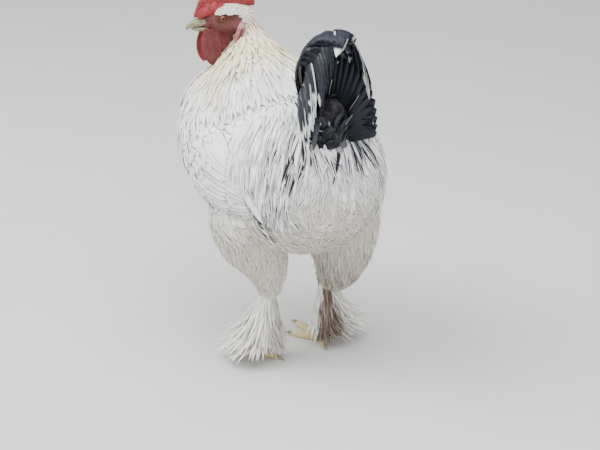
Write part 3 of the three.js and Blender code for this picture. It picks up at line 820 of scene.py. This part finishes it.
def fluff_coat():
    """Loose downy tufts on the belly, rear and thighs, in four pieces."""
    spacing, length, half, stops = 2.75, 33, 1.75, 4

    def wanted(p):
        low = 1 - step(p[..., 2], 290, 335)
        rear = (1 - step(p[..., 0], -120, -80)) * (1 - step(p[..., 2], 390, 425))
        return np.clip(low + rear, 0, 1)

    points, normals = spread_roots(spacing, wanted)
    thigh = step(points[:, 2], 305, 255) * step(np.abs(points[:, 1]), 22, 34)
    group = np.where(thigh > 0.5, np.where(points[:, 1] > 0, 1, 2), np.where(points[:, 0] < -60, 0, 3))
    for k, name in enumerate(("rear", "left_thigh", "right_thigh", "belly")):
        p = points[group == k]
        many = len(p)
        low = step(p[:, 2], 110, 210)
        coat = Coat(f"fluff_{name}", "fluff", section=SLIM)
        coat.lay(
            p,
            normals[group == k],
            scattered(lie_at(p), 0.17),
            length * draws(many, 0.35) * (0.55 + 0.45 * low),
            (3.2 + 3.6 * low) * draws(many, 0.45),
            half * draws(many, 0.35)[:, None] * pointed(stops),
            plume_color(p),
            crown=0.5,
            roll=0.4 * gauss(many),
        )
        coat.build()


def hackle_coat():
    """Long pointed feathers of the neck, in rows from the shoulders up to the nape."""
    rows, spacing, stops = 17, 6.6, 8
    coat = Coat("hackles", "cream_plumage")
    for row in range(rows):
        share = row / (rows - 1)
        t = 0.3 + 0.68 * share
        size = 1 - 0.78 * share**1.2
        girth = 2 * math.pi * float(NECK.value(3, np.array(t)))
        many = int(girth / (spacing * (0.55 + 0.45 * size)))
        angle = (np.arange(many) + 0.5 * (row % 2)) / many * 2 * math.pi
        angle = angle + 0.03 * gauss(many)
        roots = NECK.point(np.full(many, t) + 0.012 * gauss(many), angle)
        points, normals = on_skin(roots)
        coat.lay(
            points,
            normals,
            scattered(lie_at(points), 0.07),
            (16 + 58 * size) * draws(many, 0.12),
            (2.5 + 6.5 * size) * draws(many, 0.3),
            (2.2 + 4.4 * size) * draws(many, 0.12)[:, None] * pointed(stops),
            plume_color(points),
            tick=0.25 * (rng.random(many) < 0.1) * step(points[:, 1], -20, 40),
            crown=0.3,
        )
    coat.build()


def saddle_coat():
    """Long pointed feathers that fall from the back over the wings and round the tail."""
    rows, many, first, row_step, stops = 18, 25, 12, 7.8, 8
    length, lift, half = 76, 11, 4.8
    coat = Coat("saddle", "white_plumage")
    for row in range(rows):
        for side, _ in SIDES:
            angle = np.radians(np.linspace(6, 48 + 2.3 * row, many)) + 0.03 * gauss(many)
            x = first - row_step * row + 4 * gauss(many)
            points, normals = on_skin(TORSO.point(TORSO.share_at(x), side * angle))
            way = scattered(lie_at(points), 0.09)
            lengths, lifts = length * draws(many, 0.2), lift * draws(many, 0.35)
            halves = half * draws(many, 0.16)[:, None] * pointed(stops)
            near_tail = 1 - step(points[:, 0], -70, -10)
            ticks = (rng.random(many) < 0.1 + 0.45 * near_tail) * (0.4 + 0.6 * near_tail)
            beside_tail = (points[:, 0] < -84) & (np.abs(points[:, 1]) < 52)
            dark = beside_tail & (rng.random(many) < 0.35)
            # Their height alone sets the colour, so that none takes the black of the tail by its place
            color = np.where(dark[:, None], BLACK, plume_color(points * UP))
            more = {"lace": 0.9 * dark, "tick": ticks, "crown": 0.3}
            coat.lay(points, normals, way, lengths, lifts, halves, color, **more)
    coat.build()


# Each tier: how many, then how far along and from top to foot its roots spread, the same for its
# tips, half width, lift at root and tip, and the share with a black tick
WING_TIERS = [
    (7, (0.6, 0.55, 0.97), (1.14, 0.62, 1.0), 11.0, (-4, 1), 0.5),
    (14, (0.5, 0.08, 0.88), (1.04, 0.1, 0.9), 10.0, (-4, 2.5), 0.12),
    (16, (0.3, 0.05, 0.95), (0.74, 0.06, 0.95), 9.5, (-5, 3.5), 0.0),
]
WING_ROLL = math.radians(9)


def wing_coat(side, name):
    """Tiers of broad wing feathers, and the ends of the flight feathers below the saddle."""
    coat = Coat(f"wing_feathers_{name}", "white_plumage", (f"wing_{name}",))
    stops, thick, crown = 11, 0.7, 0.14
    t = np.linspace(0, 1, stops)[None]
    for many, roots, tips, half, lifts, dark in WING_TIERS:
        share = ((np.arange(many) + 0.5) / many)[:, None]
        early = 0.05 * (0.5 - np.abs(share - 0.5)) + 0.012 * gauss(many, 1)
        u = roots[0] + (tips[0] + early - roots[0]) * t
        v_root = roots[1] + (roots[2] - roots[1]) * share
        v_tip = tips[1] + (tips[2] - tips[1]) * share
        v = v_root + (v_tip - v_root) * t
        rise = lifts[0] + (lifts[1] - lifts[0]) * t + 0.5 * gauss(many, 1)
        path, facing = wing_place(side, u, v, rise - 2)
        width = half * draws(many, 0.06)[:, None] * blunt(stops, 0.6)
        ticks = np.where(rng.random(many) < dark, 1.0, 0.0)
        coat.add(path, facing, width, WHITE, tick=ticks, thick=thick, crown=crown, roll=side * WING_ROLL)
    # The ends of the longest flight feathers are black with white edges, and every third is white
    many = 8
    k = np.linspace(-1, 1, many)
    roots = xyz(-50 + 9 * k, side * 137.0, 372 + 14 * k)
    way = unit(xyz(-0.5 - 0.1 * k, side * -0.2, -0.85 + 0.12 * k))
    half = 8 * draws(many, 0.1)[:, None] * blunt(stops, 0.6)
    color = np.where((np.arange(many) % 3 == 1)[:, None], WHITE, BLACK)
    more = {"lace": 0.7, "thick": thick, "crown": crown}
    coat.lay(*on_skin(roots), way, 104 - 10 * k, 13.5 + 2 * k, half, color, **more)
    coat.build()


# Coverts of the tail: root, knee, tip on the left and half width, from the top of the tail down
ARCHES = [
    [-84, 7, 500, -112, 16, 694, -160, 24, 572, 13],
    [-84, 12, 496, -116, 28, 686, -164, 34, 556, 13],
    [-86, 16, 488, -118, 38, 664, -166, 44, 528, 12],
    [-82, 20, 480, -98, 42, 634, -150, 52, 520, 11],
    [-90, 24, 466, -112, 50, 612, -160, 56, 486, 11],
    [-80, 28, 462, -92, 52, 574, -144, 62, 474, 11],
    [-88, 30, 450, -110, 58, 546, -154, 62, 446, 10],
]
# Knots of the broad feathers that bend over the top of the tail, and their half width
SICKLES = [
    [-86, 3, 494, -90, 10, 572, -110, 9, 612, -138, 5, 624, -157, 0, 600, 14],
    [-84, 10, 486, -82, 32, 556, -100, 32, 604, -128, 22, 622, -148, 2, 602, 18],
    [-84, 8, 490, -86, 27, 566, -106, 26, 610, -134, 12, 626, -153, -8, 606, 18],
    [-86, 6, 494, -92, 20, 574, -114, 18, 616, -142, 4, 626, -158, -16, 600, 16],
    [-84, 12, 480, -80, 36, 540, -92, 38, 588, -116, 34, 608, -140, 18, 590, 17],
    [-82, 16, 474, -78, 38, 524, -88, 44, 566, -108, 44, 586, -134, 32, 568, 15],
]
# Lengths of the main tail feathers from the top down, and how fast they splay: the tail is held
# a little to the right, so its right wall reaches further back
MAIN_LENGTHS = {1: [144, 140, 126, 108, 94, 82, 74], -1: [144, 142, 138, 132, 124, 108, 92]}
MAIN_SPLAY = {1: 4.2, -1: 2.2}
RIGHT_ARCHES_BACK, RIGHT_ARCHES_IN = 20, 0.8
UNLACED_ARCHES = {1: 11, -1: 3}  # the topmost, all black
TAIL_MIDDLE = np.array([-118.0, 0, 560])


def between(table, many):
    """Evenly spaced rows between the rows of a table."""
    place = np.linspace(0, len(table) - 1, many)
    return np.stack([np.interp(place, range(len(table)), column) for column in zip(*table)], -1)


def tail_side(coat, side):
    """A wall of black feathers, its arching laced coverts, and sickles over the top."""
    stops, arches, sickles, small, small_stops = 13, 30, 18, 46, 7
    flip = np.array([1.0, side, 1.0])
    # The walls: main feathers from nearly upright to nearly level
    k = np.linspace(0, 6, 13)
    rise, splay = np.radians(84 - 10 * k), np.radians(3 + MAIN_SPLAY[side] * k)
    root = xyz(-94 - 2 * k, 5 + 2.6 * k, 462 - 4.5 * k)
    out = xyz(-np.cos(rise) * np.cos(splay), np.sin(splay), np.sin(rise) * np.cos(splay))
    tip = root + out * np.interp(k, range(7), MAIN_LENGTHS[side])[:, None]
    knee = (root + tip) / 2 + np.array([8, 6, 9])
    path = bow(root * flip, knee * flip, tip * flip, stops)
    half = 14 * blunt(stops, 0.5)[None] * np.ones((len(k), 1))
    coat.add(path, unit(np.array([0, side, 0.25])), half, SOFT_BLACK, thick=0.7, crown=0.15)
    # Coverts that arch over them, black with white edges
    arch = between(ARCHES, arches)
    arch[:, :9] += 2.6 * gauss(arches, 9)
    if side < 0:
        arch[:, 6] -= RIGHT_ARCHES_BACK
        arch[:, 7] *= RIGHT_ARCHES_IN
    path = bow(arch[:, 0:3] * flip, arch[:, 3:6] * flip, arch[:, 6:9] * flip, stops)
    facing = unit(np.array([0.1, side, 0.35]))
    half = arch[:, 9:10] * draws(arches, 0.15)[:, None] * blunt(stops, 0.5)
    lace = np.where(np.arange(arches) < UNLACED_ARCHES[side], 0.0, 0.95) * draws(arches, 0.1)
    coat.add(path, facing, half, BLACK, lace=np.clip(lace, 0, 1), thick=0.6, crown=0.3)
    # Broad sickles over the top
    knots = between(SICKLES, sickles)
    knots[:, 3:15] += 2.0 * gauss(sickles, 12)
    line = np.linspace(0, 1, stops)
    path = np.stack([through(row[:15].reshape(5, 3)[:, i], line) for row in knots for i in range(3)])
    path = path.reshape(sickles, 3, stops).transpose(0, 2, 1) * flip
    half = knots[:, 15:16] * draws(sickles, 0.1)[:, None] * blunt(stops, 0.45)
    lace = 0.0 if side > 0 else 0.95 * (rng.random(sickles) < 0.6)
    coat.add(path, unit(path - TAIL_MIDDLE), half, BLACK, lace=lace, thick=0.6, crown=0.2)
    # Small dark feathers at the tail's foot
    share = rng.uniform(0.05, 0.7, small)
    angle = side * rng.uniform(0.0, 2.6, small)
    points, normals = TAIL.point(share, angle), TAIL.normal(share, angle)
    way = scattered(np.broadcast_to([-0.25, 0, 1.0], (small, 3)), 0.2)
    t = np.linspace(0, 1, small_stops)[None, :, None]
    path = points[:, None] + way[:, None] * t * 44 + normals[:, None] * (t**1.5 * 10 - 5)
    half = 9 * draws(small, 0.2)[:, None] * blunt(small_stops, 0.12)
    lace = 0.7 * (rng.random(small) < 0.2)
    coat.add(path, normals[:, None], half, SOFT_BLACK, lace=lace, crown=0.25)


def tail_coat():
    coat = Coat("tail_feathers", "black_plumage", ("tail",), DARK_PLUMAGE)
    for side, _ in SIDES:
        tail_side(coat, side)
    coat.build()


def leg_coat(leg):
    """White feathers that fan from the shank and foot, longest to the front and outer side."""
    side = leg["side"]
    coat = Coat(f"leg_feathers_{leg['name']}", "fluff")
    rows, many, fan, stops = 18, 30, 26, 9
    top, fall = 134, 108
    for row in range(rows):
        share = row / (rows - 1)
        z = top - fall * share
        turns = np.linspace(-42, 166, many) + 5 * gauss(many)
        scale = np.interp(turns, [-34, 12, 58, 104, 160], leg["feathers"])
        far = (16 + 54 * min(share * 1.4, 1)) * scale * draws(many, 0.22)
        drop = (54 - 38 * share) * draws(many, 0.16)
        aim = np.radians(turns)
        out = xyz(-np.sin(aim), side * np.cos(aim), 0.0)
        root = np.array([leg["hock"][0] * max(z - 18, 0) / 96, 0, z]) + out * 7
        tip = root + out * far[:, None] - UP * drop[:, None]
        tip += 4 * gauss(many, 3)
        clear = np.interp(turns, [-42, 0, 60, 110, 166], [6, 26, 20, 13, 8]) * draws(many, 0.6)
        tip[:, 2] = np.maximum(tip[:, 2], clear)
        knee = root * 0.5 + tip * 0.5 + UP * 12 + out * 5
        facing = unit(out * drop[:, None] + UP * far[:, None])[:, None]
        half = (3.2 + 1.2 * share) * draws(many, 0.3)[:, None] * pointed(stops, 0.55)
        color = blend(0.25 * draws(many, 1.0), WHITE, CREAM)
        # Brown towards the rear: mud on the right leg, painted shade in the cleft of the feathers on the
        # left
        mud_and_shade_share = leg["mud_and_shade"] * step(turns, 45, 85) * (1 - step(turns, 128, 150)) * draws(many, 0.35)
        color = blend(np.clip(mud_and_shade_share, 0, 0.95), color, MUD_AND_SHADE_BROWN)
        roll = side * 0.14 + 0.2 * gauss(many)
        path = stand(leg, bow(root, knee, tip, stops))
        coat.add(path, facing @ leg_turn(leg), half, color, crown=0.25, roll=roll)
    # The fan that lies forward over the outer toe
    k = rng.uniform(0, 1, fan)
    aim = side * np.radians(16 + 62 * k + 5 * gauss(fan))
    forward = 1 - k
    root = xyz(6 + 40 * forward, side * (5 + 4 * forward), 8 + 3 * rng.random(fan))
    out = xyz(np.cos(aim), np.sin(aim), 0.0)
    reach = (40 + 14 * k) * draws(fan, 0.25)
    tip = root + out * reach[:, None] - UP * (3 + 4 * rng.random(fan))[:, None]
    knee = (root + tip) / 2 + UP * (8 * draws(fan, 0.5))[:, None]
    path = stand(leg, bow(root, knee, tip, stops))
    half = 3.4 * draws(fan, 0.25)[:, None] * pointed(stops, 0.5)
    color = blend(0.2 * draws(fan, 1.0), WHITE, CREAM)
    coat.add(path, UP @ leg_turn(leg), half, color, crown=0.3, roll=0.3 * gauss(fan))
    coat.build()


def head_coat():
    """Short white feathers on the crown, nape and throat, round the bare face."""
    tries, stops = 5200, 5
    t = rng.uniform(0.02, 0.8, tries)
    angle = rng.uniform(-math.pi, math.pi, tries)
    q = SKULL.point(t, angle)
    brow = 13.5 - 5.5 * step(q[:, 0], -10, -26)
    crown = (q[:, 2] > brow) & (q[:, 0] < 23)
    behind = q[:, 0] < -25 + 3 * gauss(tries)
    q, t, angle = (values[crown | behind] for values in (q, t, angle))
    many = len(q)
    normal = SKULL.normal(t, angle)
    way = np.array([-1.0, 0, -0.3]) + 0.14 * gauss(many, 3)
    way = square_to(way, normal)
    along = np.linspace(0, 1, stops)[None, :, None]
    length = (9 + 4 * step(-q[:, 0], 0, 30))[:, None, None] * draws(many, 0.2)[:, None, None]
    path = q[:, None] + way[:, None] * along * length + normal[:, None] * (4.4 * along**0.7 - 0.4)
    half = 1.7 * draws(many, 0.2)[:, None] * pointed(stops, 0.7)
    facing = (from_head(normal) - HEAD_AT)[:, None]
    color = blend(0.3 + 0.4 * step(-q[:, 0], 10, 40), WHITE, CREAM)
    coat = Coat("head_feathers", "cream_plumage", section=SLIM)
    coat.add(from_head(path), facing, half, color, crown=0.35)
    coat.build()


body_coat()
fluff_coat()
hackle_coat()
saddle_coat()
for side, name in SIDES:
    wing_coat(side, name)
tail_coat()
for leg in LEGS:
    leg_coat(leg)
head_coat()

# ---- Head: face, lids, comb, wattles, ear lobes, beak and eyes, in the head's frame ----
RED = np.array([0.29, 0.024, 0.03])
MAROON = np.array([0.095, 0.016, 0.02])
FACE = np.array([0.125, 0.045, 0.042])
ORBIT = np.array([0.05, 0.022, 0.013])
PINK = np.array([0.36, 0.15, 0.145])
PALE = np.array([0.66, 0.40, 0.38])
EAR_TOP, EAR_SWING, EAR_LENGTH, EAR_HALF = (-27, 21, -1), (20, 15), 50, 8


def flesh_piece(name, parts, color, node, voxel=0.0, smooth=1):
    made, _ = soft_piece(name, parts, FLESH, "tint", color, voxel, smooth)
    finish_piece(made, "red_skin", node)


def in_head(p):
    """How far forward and up places on the bird are in the head's frame."""
    q = (p - HEAD_AT) @ turned(HEAD_TURN)
    return q[:, 0], q[:, 2]


def face_shape():
    """The bare face: the skull with brow, cheek folds and a soft edge where the feathers start."""
    rings = SKULL.point(np.linspace(0.16, 1, 40)[:, None], around(64), -0.6)
    x, z = rings[..., 0], rings[..., 2]
    brow = 2.2 * mound(x, z, (8, 15), (15, 4))
    cheek = 1.6 * mound(x, z, (-2, -10), (18, 7))
    folds = 0.5 * np.sin((z * 1.1 + x * 0.35)) * np.exp(-(((x - 4) / 20) ** 2))
    socket = -2.4 * mound(x, z, (EYE[0], EYE[2]), (8, 6.5))
    side = np.sign(rings[..., 1:2]) * LEFT
    return tube(from_head(rings + side * (brow + cheek + folds + socket)[..., None]))


def lid_ring(side, radius, thick, squash, lift):
    """A soft ring round an eye, wider than it is high and curved with the head."""
    a, b = around(28).T, around(10)
    reach = radius + thick * np.cos(b)
    x = reach * np.cos(a) * squash[0]
    z = reach * np.sin(a) * squash[1]
    y = thick * np.sin(b) - 0.035 * (x**2 + z**2) ** 0.5 * 0.6
    rings = xyz(EYE[0] + x, side * (EYE[1] + lift + y), EYE[2] + z)
    grid = np.arange(x.size).reshape(x.shape)
    return from_head(rings.reshape(-1, 3)), quads(grid, np.roll(grid, -1, 0)).tolist()


def lobe(side, top, swing, length, half, thick, folds):
    """A hanging lobe with soft upright folds and a rounded rim, which swings forward and outward."""
    t = spaced(46)
    wide = half * np.sin(math.pi * (0.16 + 0.835 * t)) ** 0.6
    flat = thick * (0.8 + 0.2 * np.cos(5 * math.pi * t)) * np.clip((1 - t) * 9, 0, 1) ** 0.5
    c, s = np.cos(around(40)), np.sin(around(40))
    wave = folds * np.sin(9 * c + 3.5 * t) * np.sin(math.pi * t)
    x = top[0] + swing[0] * t + wide * c
    y = top[1] + swing[1] * t + flat * s + wave
    return tube(from_head(xyz(x, side * y, top[2] - length * t)))


def face_color(p):
    """Maroon below and in front, pink behind the cheek, dark round the eye."""
    x, z = in_head(p)
    color = blend(step(z, -4, -22), FACE, MAROON * 1.2)
    color = blend(0.6 * step(x, 14, 30), color, MAROON * 1.3)
    color = blend(0.5 * mound(x, z, (-18, -8), (8, 9)), color, PINK)
    return blend(0.85 * np.clip(1.3 * mound(x, z, (-1, 8), (18, 8)), 0, 1), color, ORBIT)


def ear_color(p):
    """Pink, pale at the top, with a dark slit painted as the shade in its fold."""
    x, z = in_head(p)
    t = (EAR_TOP[2] - z) / EAR_LENGTH
    u = (x - EAR_TOP[0] - EAR_SWING[0] * t) / EAR_HALF
    # A dark line painted as shade in the lobe's fold
    fold_shade = step(t, 0.16, 0.3) * step(u, -0.75, -0.4) * (1 - step(u, 0.0, 0.35))
    return blend(0.9 * fold_shade, blend(1 - step(t, 0.12, 0.3), PINK, PALE), ORBIT)


def ridge(start, end, base, drop, height, half, points, y):
    """A comb ridge with blunt points."""
    t = np.linspace(0.004, 0.996, 70)
    arch, end_near = np.sin(math.pi * t), np.minimum(t, 1 - t)
    notch = 0.84 - 0.16 * np.cos(2 * math.pi * points * t)
    top = (height[0] + height[1] * arch**0.7) * notch * np.minimum(1, 12 * end_near) ** 0.5
    width = half * (0.45 + 0.55 * arch**0.5) * np.minimum(1, 14 * end_near) ** 0.5
    t, top, width = t[:, None], top[:, None], width[:, None]
    c, s = np.cos(around(24)), np.sin(around(24))
    beads = 1 + 0.12 * np.sin(3.1 * points * 2 * math.pi * t + 5 * around(24))
    along = start + (end - start) * t
    across = y + width * beads * np.sign(s) * np.abs(s) ** 0.9
    up = base - drop * t**3 + c * np.where(c > 0, top, 7)
    return tube(from_head(xyz(along, across, up)))


face_parts = [face_shape()]
for side, _ in SIDES:
    face_parts.append(lobe(side, (10, 6, -8), (-2, 4), length=50, half=21, thick=4.0, folds=0.7))
    face_parts.append(lid_ring(side, EYE_RADIUS + 0.6, thick=1.5, squash=(1.12, 0.86), lift=1.9))
    face_parts.append(lid_ring(side, EYE_RADIUS + 3.2, thick=1.1, squash=(1.12, 0.9), lift=0.6))
flesh_piece("face", face_parts, face_color, "head")

comb_parts = [ridge(start=-54, end=57, base=27, drop=16, height=(10, 28), half=5.6, points=5, y=0)]
for y in (8, -8):
    comb_parts.append(ridge(start=0, end=52, base=19, drop=9, height=(6, 9), half=5, points=4, y=y))
flesh_piece("comb_skin", comb_parts, RED * 1.05, "comb", voxel=0.0011, smooth=2)

WATTLE_SWING = {1: 0, -1: 9}  # the right one swings forward
# The left wattle is painted maroon as shade on it; the right one keeps the red of the comb
WATTLE_COLOR_WITH_SHADE = {1: MAROON * 1.25, -1: RED}
for side, name in SIDES:
    swing = (WATTLE_SWING[side], 5)
    wattle = lobe(side, (27, 9, -13), swing, length=66, half=20, thick=3.6, folds=1.1)
    flesh_piece(f"wattle_skin_{name}", [wattle], WATTLE_COLOR_WITH_SHADE[side], f"wattle_{name}")
    ear = lobe(side, EAR_TOP, EAR_SWING, EAR_LENGTH, EAR_HALF, thick=3.4, folds=0.5)
    flesh_piece(f"earlobe_skin_{name}", [ear], ear_color, f"earlobe_{name}")

UPPER_BEAK = [
    [30, 0, -3, 10.5, 9, 5],
    [44, 0, -3, 9, 8.5, 5],
    [56, 0, -5, 7, 7, 4.5],
    [66, 0, -9, 4.4, 5, 4],
    [71, 0, -16, 0, 0, 0],
]
LOWER_BEAK = [
    [30, 0, -15, 9, 5.5, 5],
    [44, 0, -14.5, 7.6, 4.6, 4.6],
    [55, 0, -14, 5.4, 3.4, 3.6],
    [63, 0, -13.6, 0, 0, 0],
]


def hard_piece(name, part, material, slot, *nodes):
    made = make_object(name, *part, material)
    give_bake_map(made, unwrap(places(made)))
    finish_piece(made, slot, *nodes)
    return made


upper = Form(UPPER_BEAK).rings(40, 36)
nostril = mound(upper[..., 0], upper[..., 2], (48, -0.5), (3.2, 1.4))
upper[..., 1] -= np.sign(upper[..., 1]) * 2.2 * nostril
hard_piece("bill_upper", tube(from_head(upper)), HORN, "horn", "beak_upper")
hard_piece("bill_lower", tube(from_head(Form(LOWER_BEAK).rings(30, 32))), HORN, "horn", "beak_lower")

for side, name in SIDES:
    a, b = np.linspace(0.02, math.pi - 0.02, 28)[:, None], around(40)
    ball = EYE_RADIUS * xyz(np.sin(a) * np.cos(b), np.cos(a), np.sin(a) * np.sin(b))
    ring = np.hypot(ball[..., 0], ball[..., 2]) / EYE_RADIUS
    ring = np.where(ball[..., 1] > 0, ring, 1.0)
    part = tube(from_head((ball + EYE) * np.array([1, side, 1])))
    made = hard_piece(f"eyeball_{name}", part, EYE_FINISH, "eye", f"eye_{name}")
    give(made, "ring", np.r_[ring.ravel(), 0.0, 1.0])

# ---- Feet: scaled shanks and toes, and claws ----
TOES = [("middle", 0, 78), ("inner", 34, 58), ("outer", -36, 62), ("hind", 160, 30)]
SCUTE = 5.2  # the length of one scute along a toe


def toe_shape(length):
    """A toe with scutes across its top and soft pads beneath, flat where it stands."""
    t, angle = spaced(64), around(24)
    height = 8.4 + (4.6 - 8.4) * t
    joints = 0.25 + 0.55 * np.abs(np.cos(2 * math.pi * t))
    reach = (height + joints) * np.clip((1 - t) * 12, 0, 1) ** 0.4
    scute = 0.45 * np.abs(np.sin(math.pi * length / SCUTE * t)) ** 0.5 * np.clip(np.cos(angle), 0, 1)
    x = -4 + (length + 4) * t
    z = np.maximum(height + np.cos(angle) * (reach + scute) - 0.5, 0)
    return xyz(x, np.sin(angle) * reach * 0.92, z)


def claw_shape(length):
    """A curved claw at the end of a toe, kept clear of the floor."""
    sections = [
        [length - 9, 0, 6, 3.2, 3.4, 3],
        [length, 0, 6.4, 2.9, 3.1, 3],
        [length + 8, 0, 5, 2, 2.2, 2],
        [length + 16, 0, 1.4, 0, 0, 0],
    ]
    rings = Form(sections).rings(16, 14)
    rings[..., 2] = np.maximum(rings[..., 2], 0.1)
    return rings


def shank_shape(hock):
    """A shank from above the hock down into the foot, with scutes across its front."""
    sections = [
        [hock[0], 0, hock[2] + 26, 11, 12, 12],
        [hock[0], 0, hock[2], 10, 12, 11],
        [hock[0] * 0.7, 0, 78, 8, 9, 9],
        [hock[0] * 0.3, 0, 44, 8, 9, 9],
        [0, 0, 18, 10, 12, 11],
        [0, 0, 8, 7, 8, 8],
    ]
    rows, columns, scutes = 70, 28, 21
    shank = Form(sections).rings(rows, columns, -0.3)
    front = np.clip(np.cos(around(columns)), 0, 1)
    shank[..., 0] += 0.6 * np.abs(np.sin(spaced(rows + 1) * math.pi * scutes)) ** 0.5 * front
    return shank


for leg in LEGS:
    name = leg["name"]
    parts = [tube(stand(leg, shank_shape(leg["hock"])))]
    parts += [tube(stand(leg, toe_shape(length), aim)) for _, aim, length in TOES]
    nodes = (f"shank_{name}", f"foot_{name}")
    made = hard_piece(f"scaled_leg_{name}", merge(parts), SCALES, "scale_skin", *nodes)
    give(made, "mud_and_shade", np.clip(leg["mud_and_shade"] * (0.35 + 0.65 * step(places(made)[:, 2], 12, 40)), 0, 1))
    for toe, aim, length in TOES:
        part = tube(stand(leg, claw_shape(length), aim))
        hard_piece(f"nail_{name}_{toe}", part, HORN, "horn", f"claw_{name}_{toe}")

# ---- Floor, light and camera ----
floor_material = Nodes("floor")
floor_color = floor_material.mix(
    floor_material.noise(6.0, 3.0), (0.60, 0.595, 0.58, 1), (0.64, 0.635, 0.62, 1)
)
bpy.ops.mesh.primitive_plane_add(size=30, location=(0, 0, 0))
floor = bpy.context.object
floor.name = "floor"
floor.data.materials.append(floor_material.finish(floor_color, 0.9))

world = bpy.data.worlds.new("studio")
bpy.context.scene.world = world
world.use_nodes = True
sky = world.node_tree.nodes["Background"].inputs
sky["Color"].default_value = (0.86, 0.9, 0.96, 1)
sky["Strength"].default_value = 0.8

MIDDLE = MOVED[0] / 1000  # the X of the bird's own origin, in metres
LIT = Vector((MIDDLE, 0, 0.32))


def area_light(name, place, size, power, color):
    data = bpy.data.lights.new(name, "AREA")
    data.size = size
    data.energy = power
    data.color = color
    lamp = add_object(name, data)
    lamp.location = place
    lamp.rotation_euler = (LIT - Vector(place)).to_track_quat("-Z", "Y").to_euler()


area_light("key", (0.9, 1.9, 2.9), size=2.2, power=145, color=(1.0, 0.99, 0.97))
area_light("top", (-0.7, 0.1, 3.0), size=2.6, power=105, color=(0.97, 0.98, 1.0))
area_light("fill", (-2.6, 0.6, 1.3), size=2.0, power=32, color=(1.0, 0.98, 0.95))

AZIMUTH, ELEVATION, DISTANCE = math.radians(240), math.radians(24), 2.8
PIXELS_PER_METRE = 574.0
PICTURE_WIDTH = 600
LOOK_AT = Vector((MIDDLE, 0, 0.3))
RIGHTWARD, DOWNWARD = 5, 29  # how far off LOOK_AT the middle of the picture is, in pixels
SENSOR_WIDTH = 36
level = math.cos(ELEVATION)
back = Vector((math.sin(AZIMUTH) * level, -math.cos(AZIMUTH) * level, math.sin(ELEVATION)))
right = (-back).cross(Vector((0, 0, 1))).normalized()
above = right.cross(-back)
target = LOOK_AT + right * (RIGHTWARD / PIXELS_PER_METRE) - above * (DOWNWARD / PIXELS_PER_METRE)
camera_data = bpy.data.cameras.new("camera")
camera_data.sensor_width = SENSOR_WIDTH
camera_data.lens = SENSOR_WIDTH * PIXELS_PER_METRE * DISTANCE / PICTURE_WIDTH
camera = add_object("camera", camera_data)
camera.location = target + back * DISTANCE
camera.rotation_euler = (-back).to_track_quat("-Z", "Y").to_euler()
bpy.context.scene.camera = camera
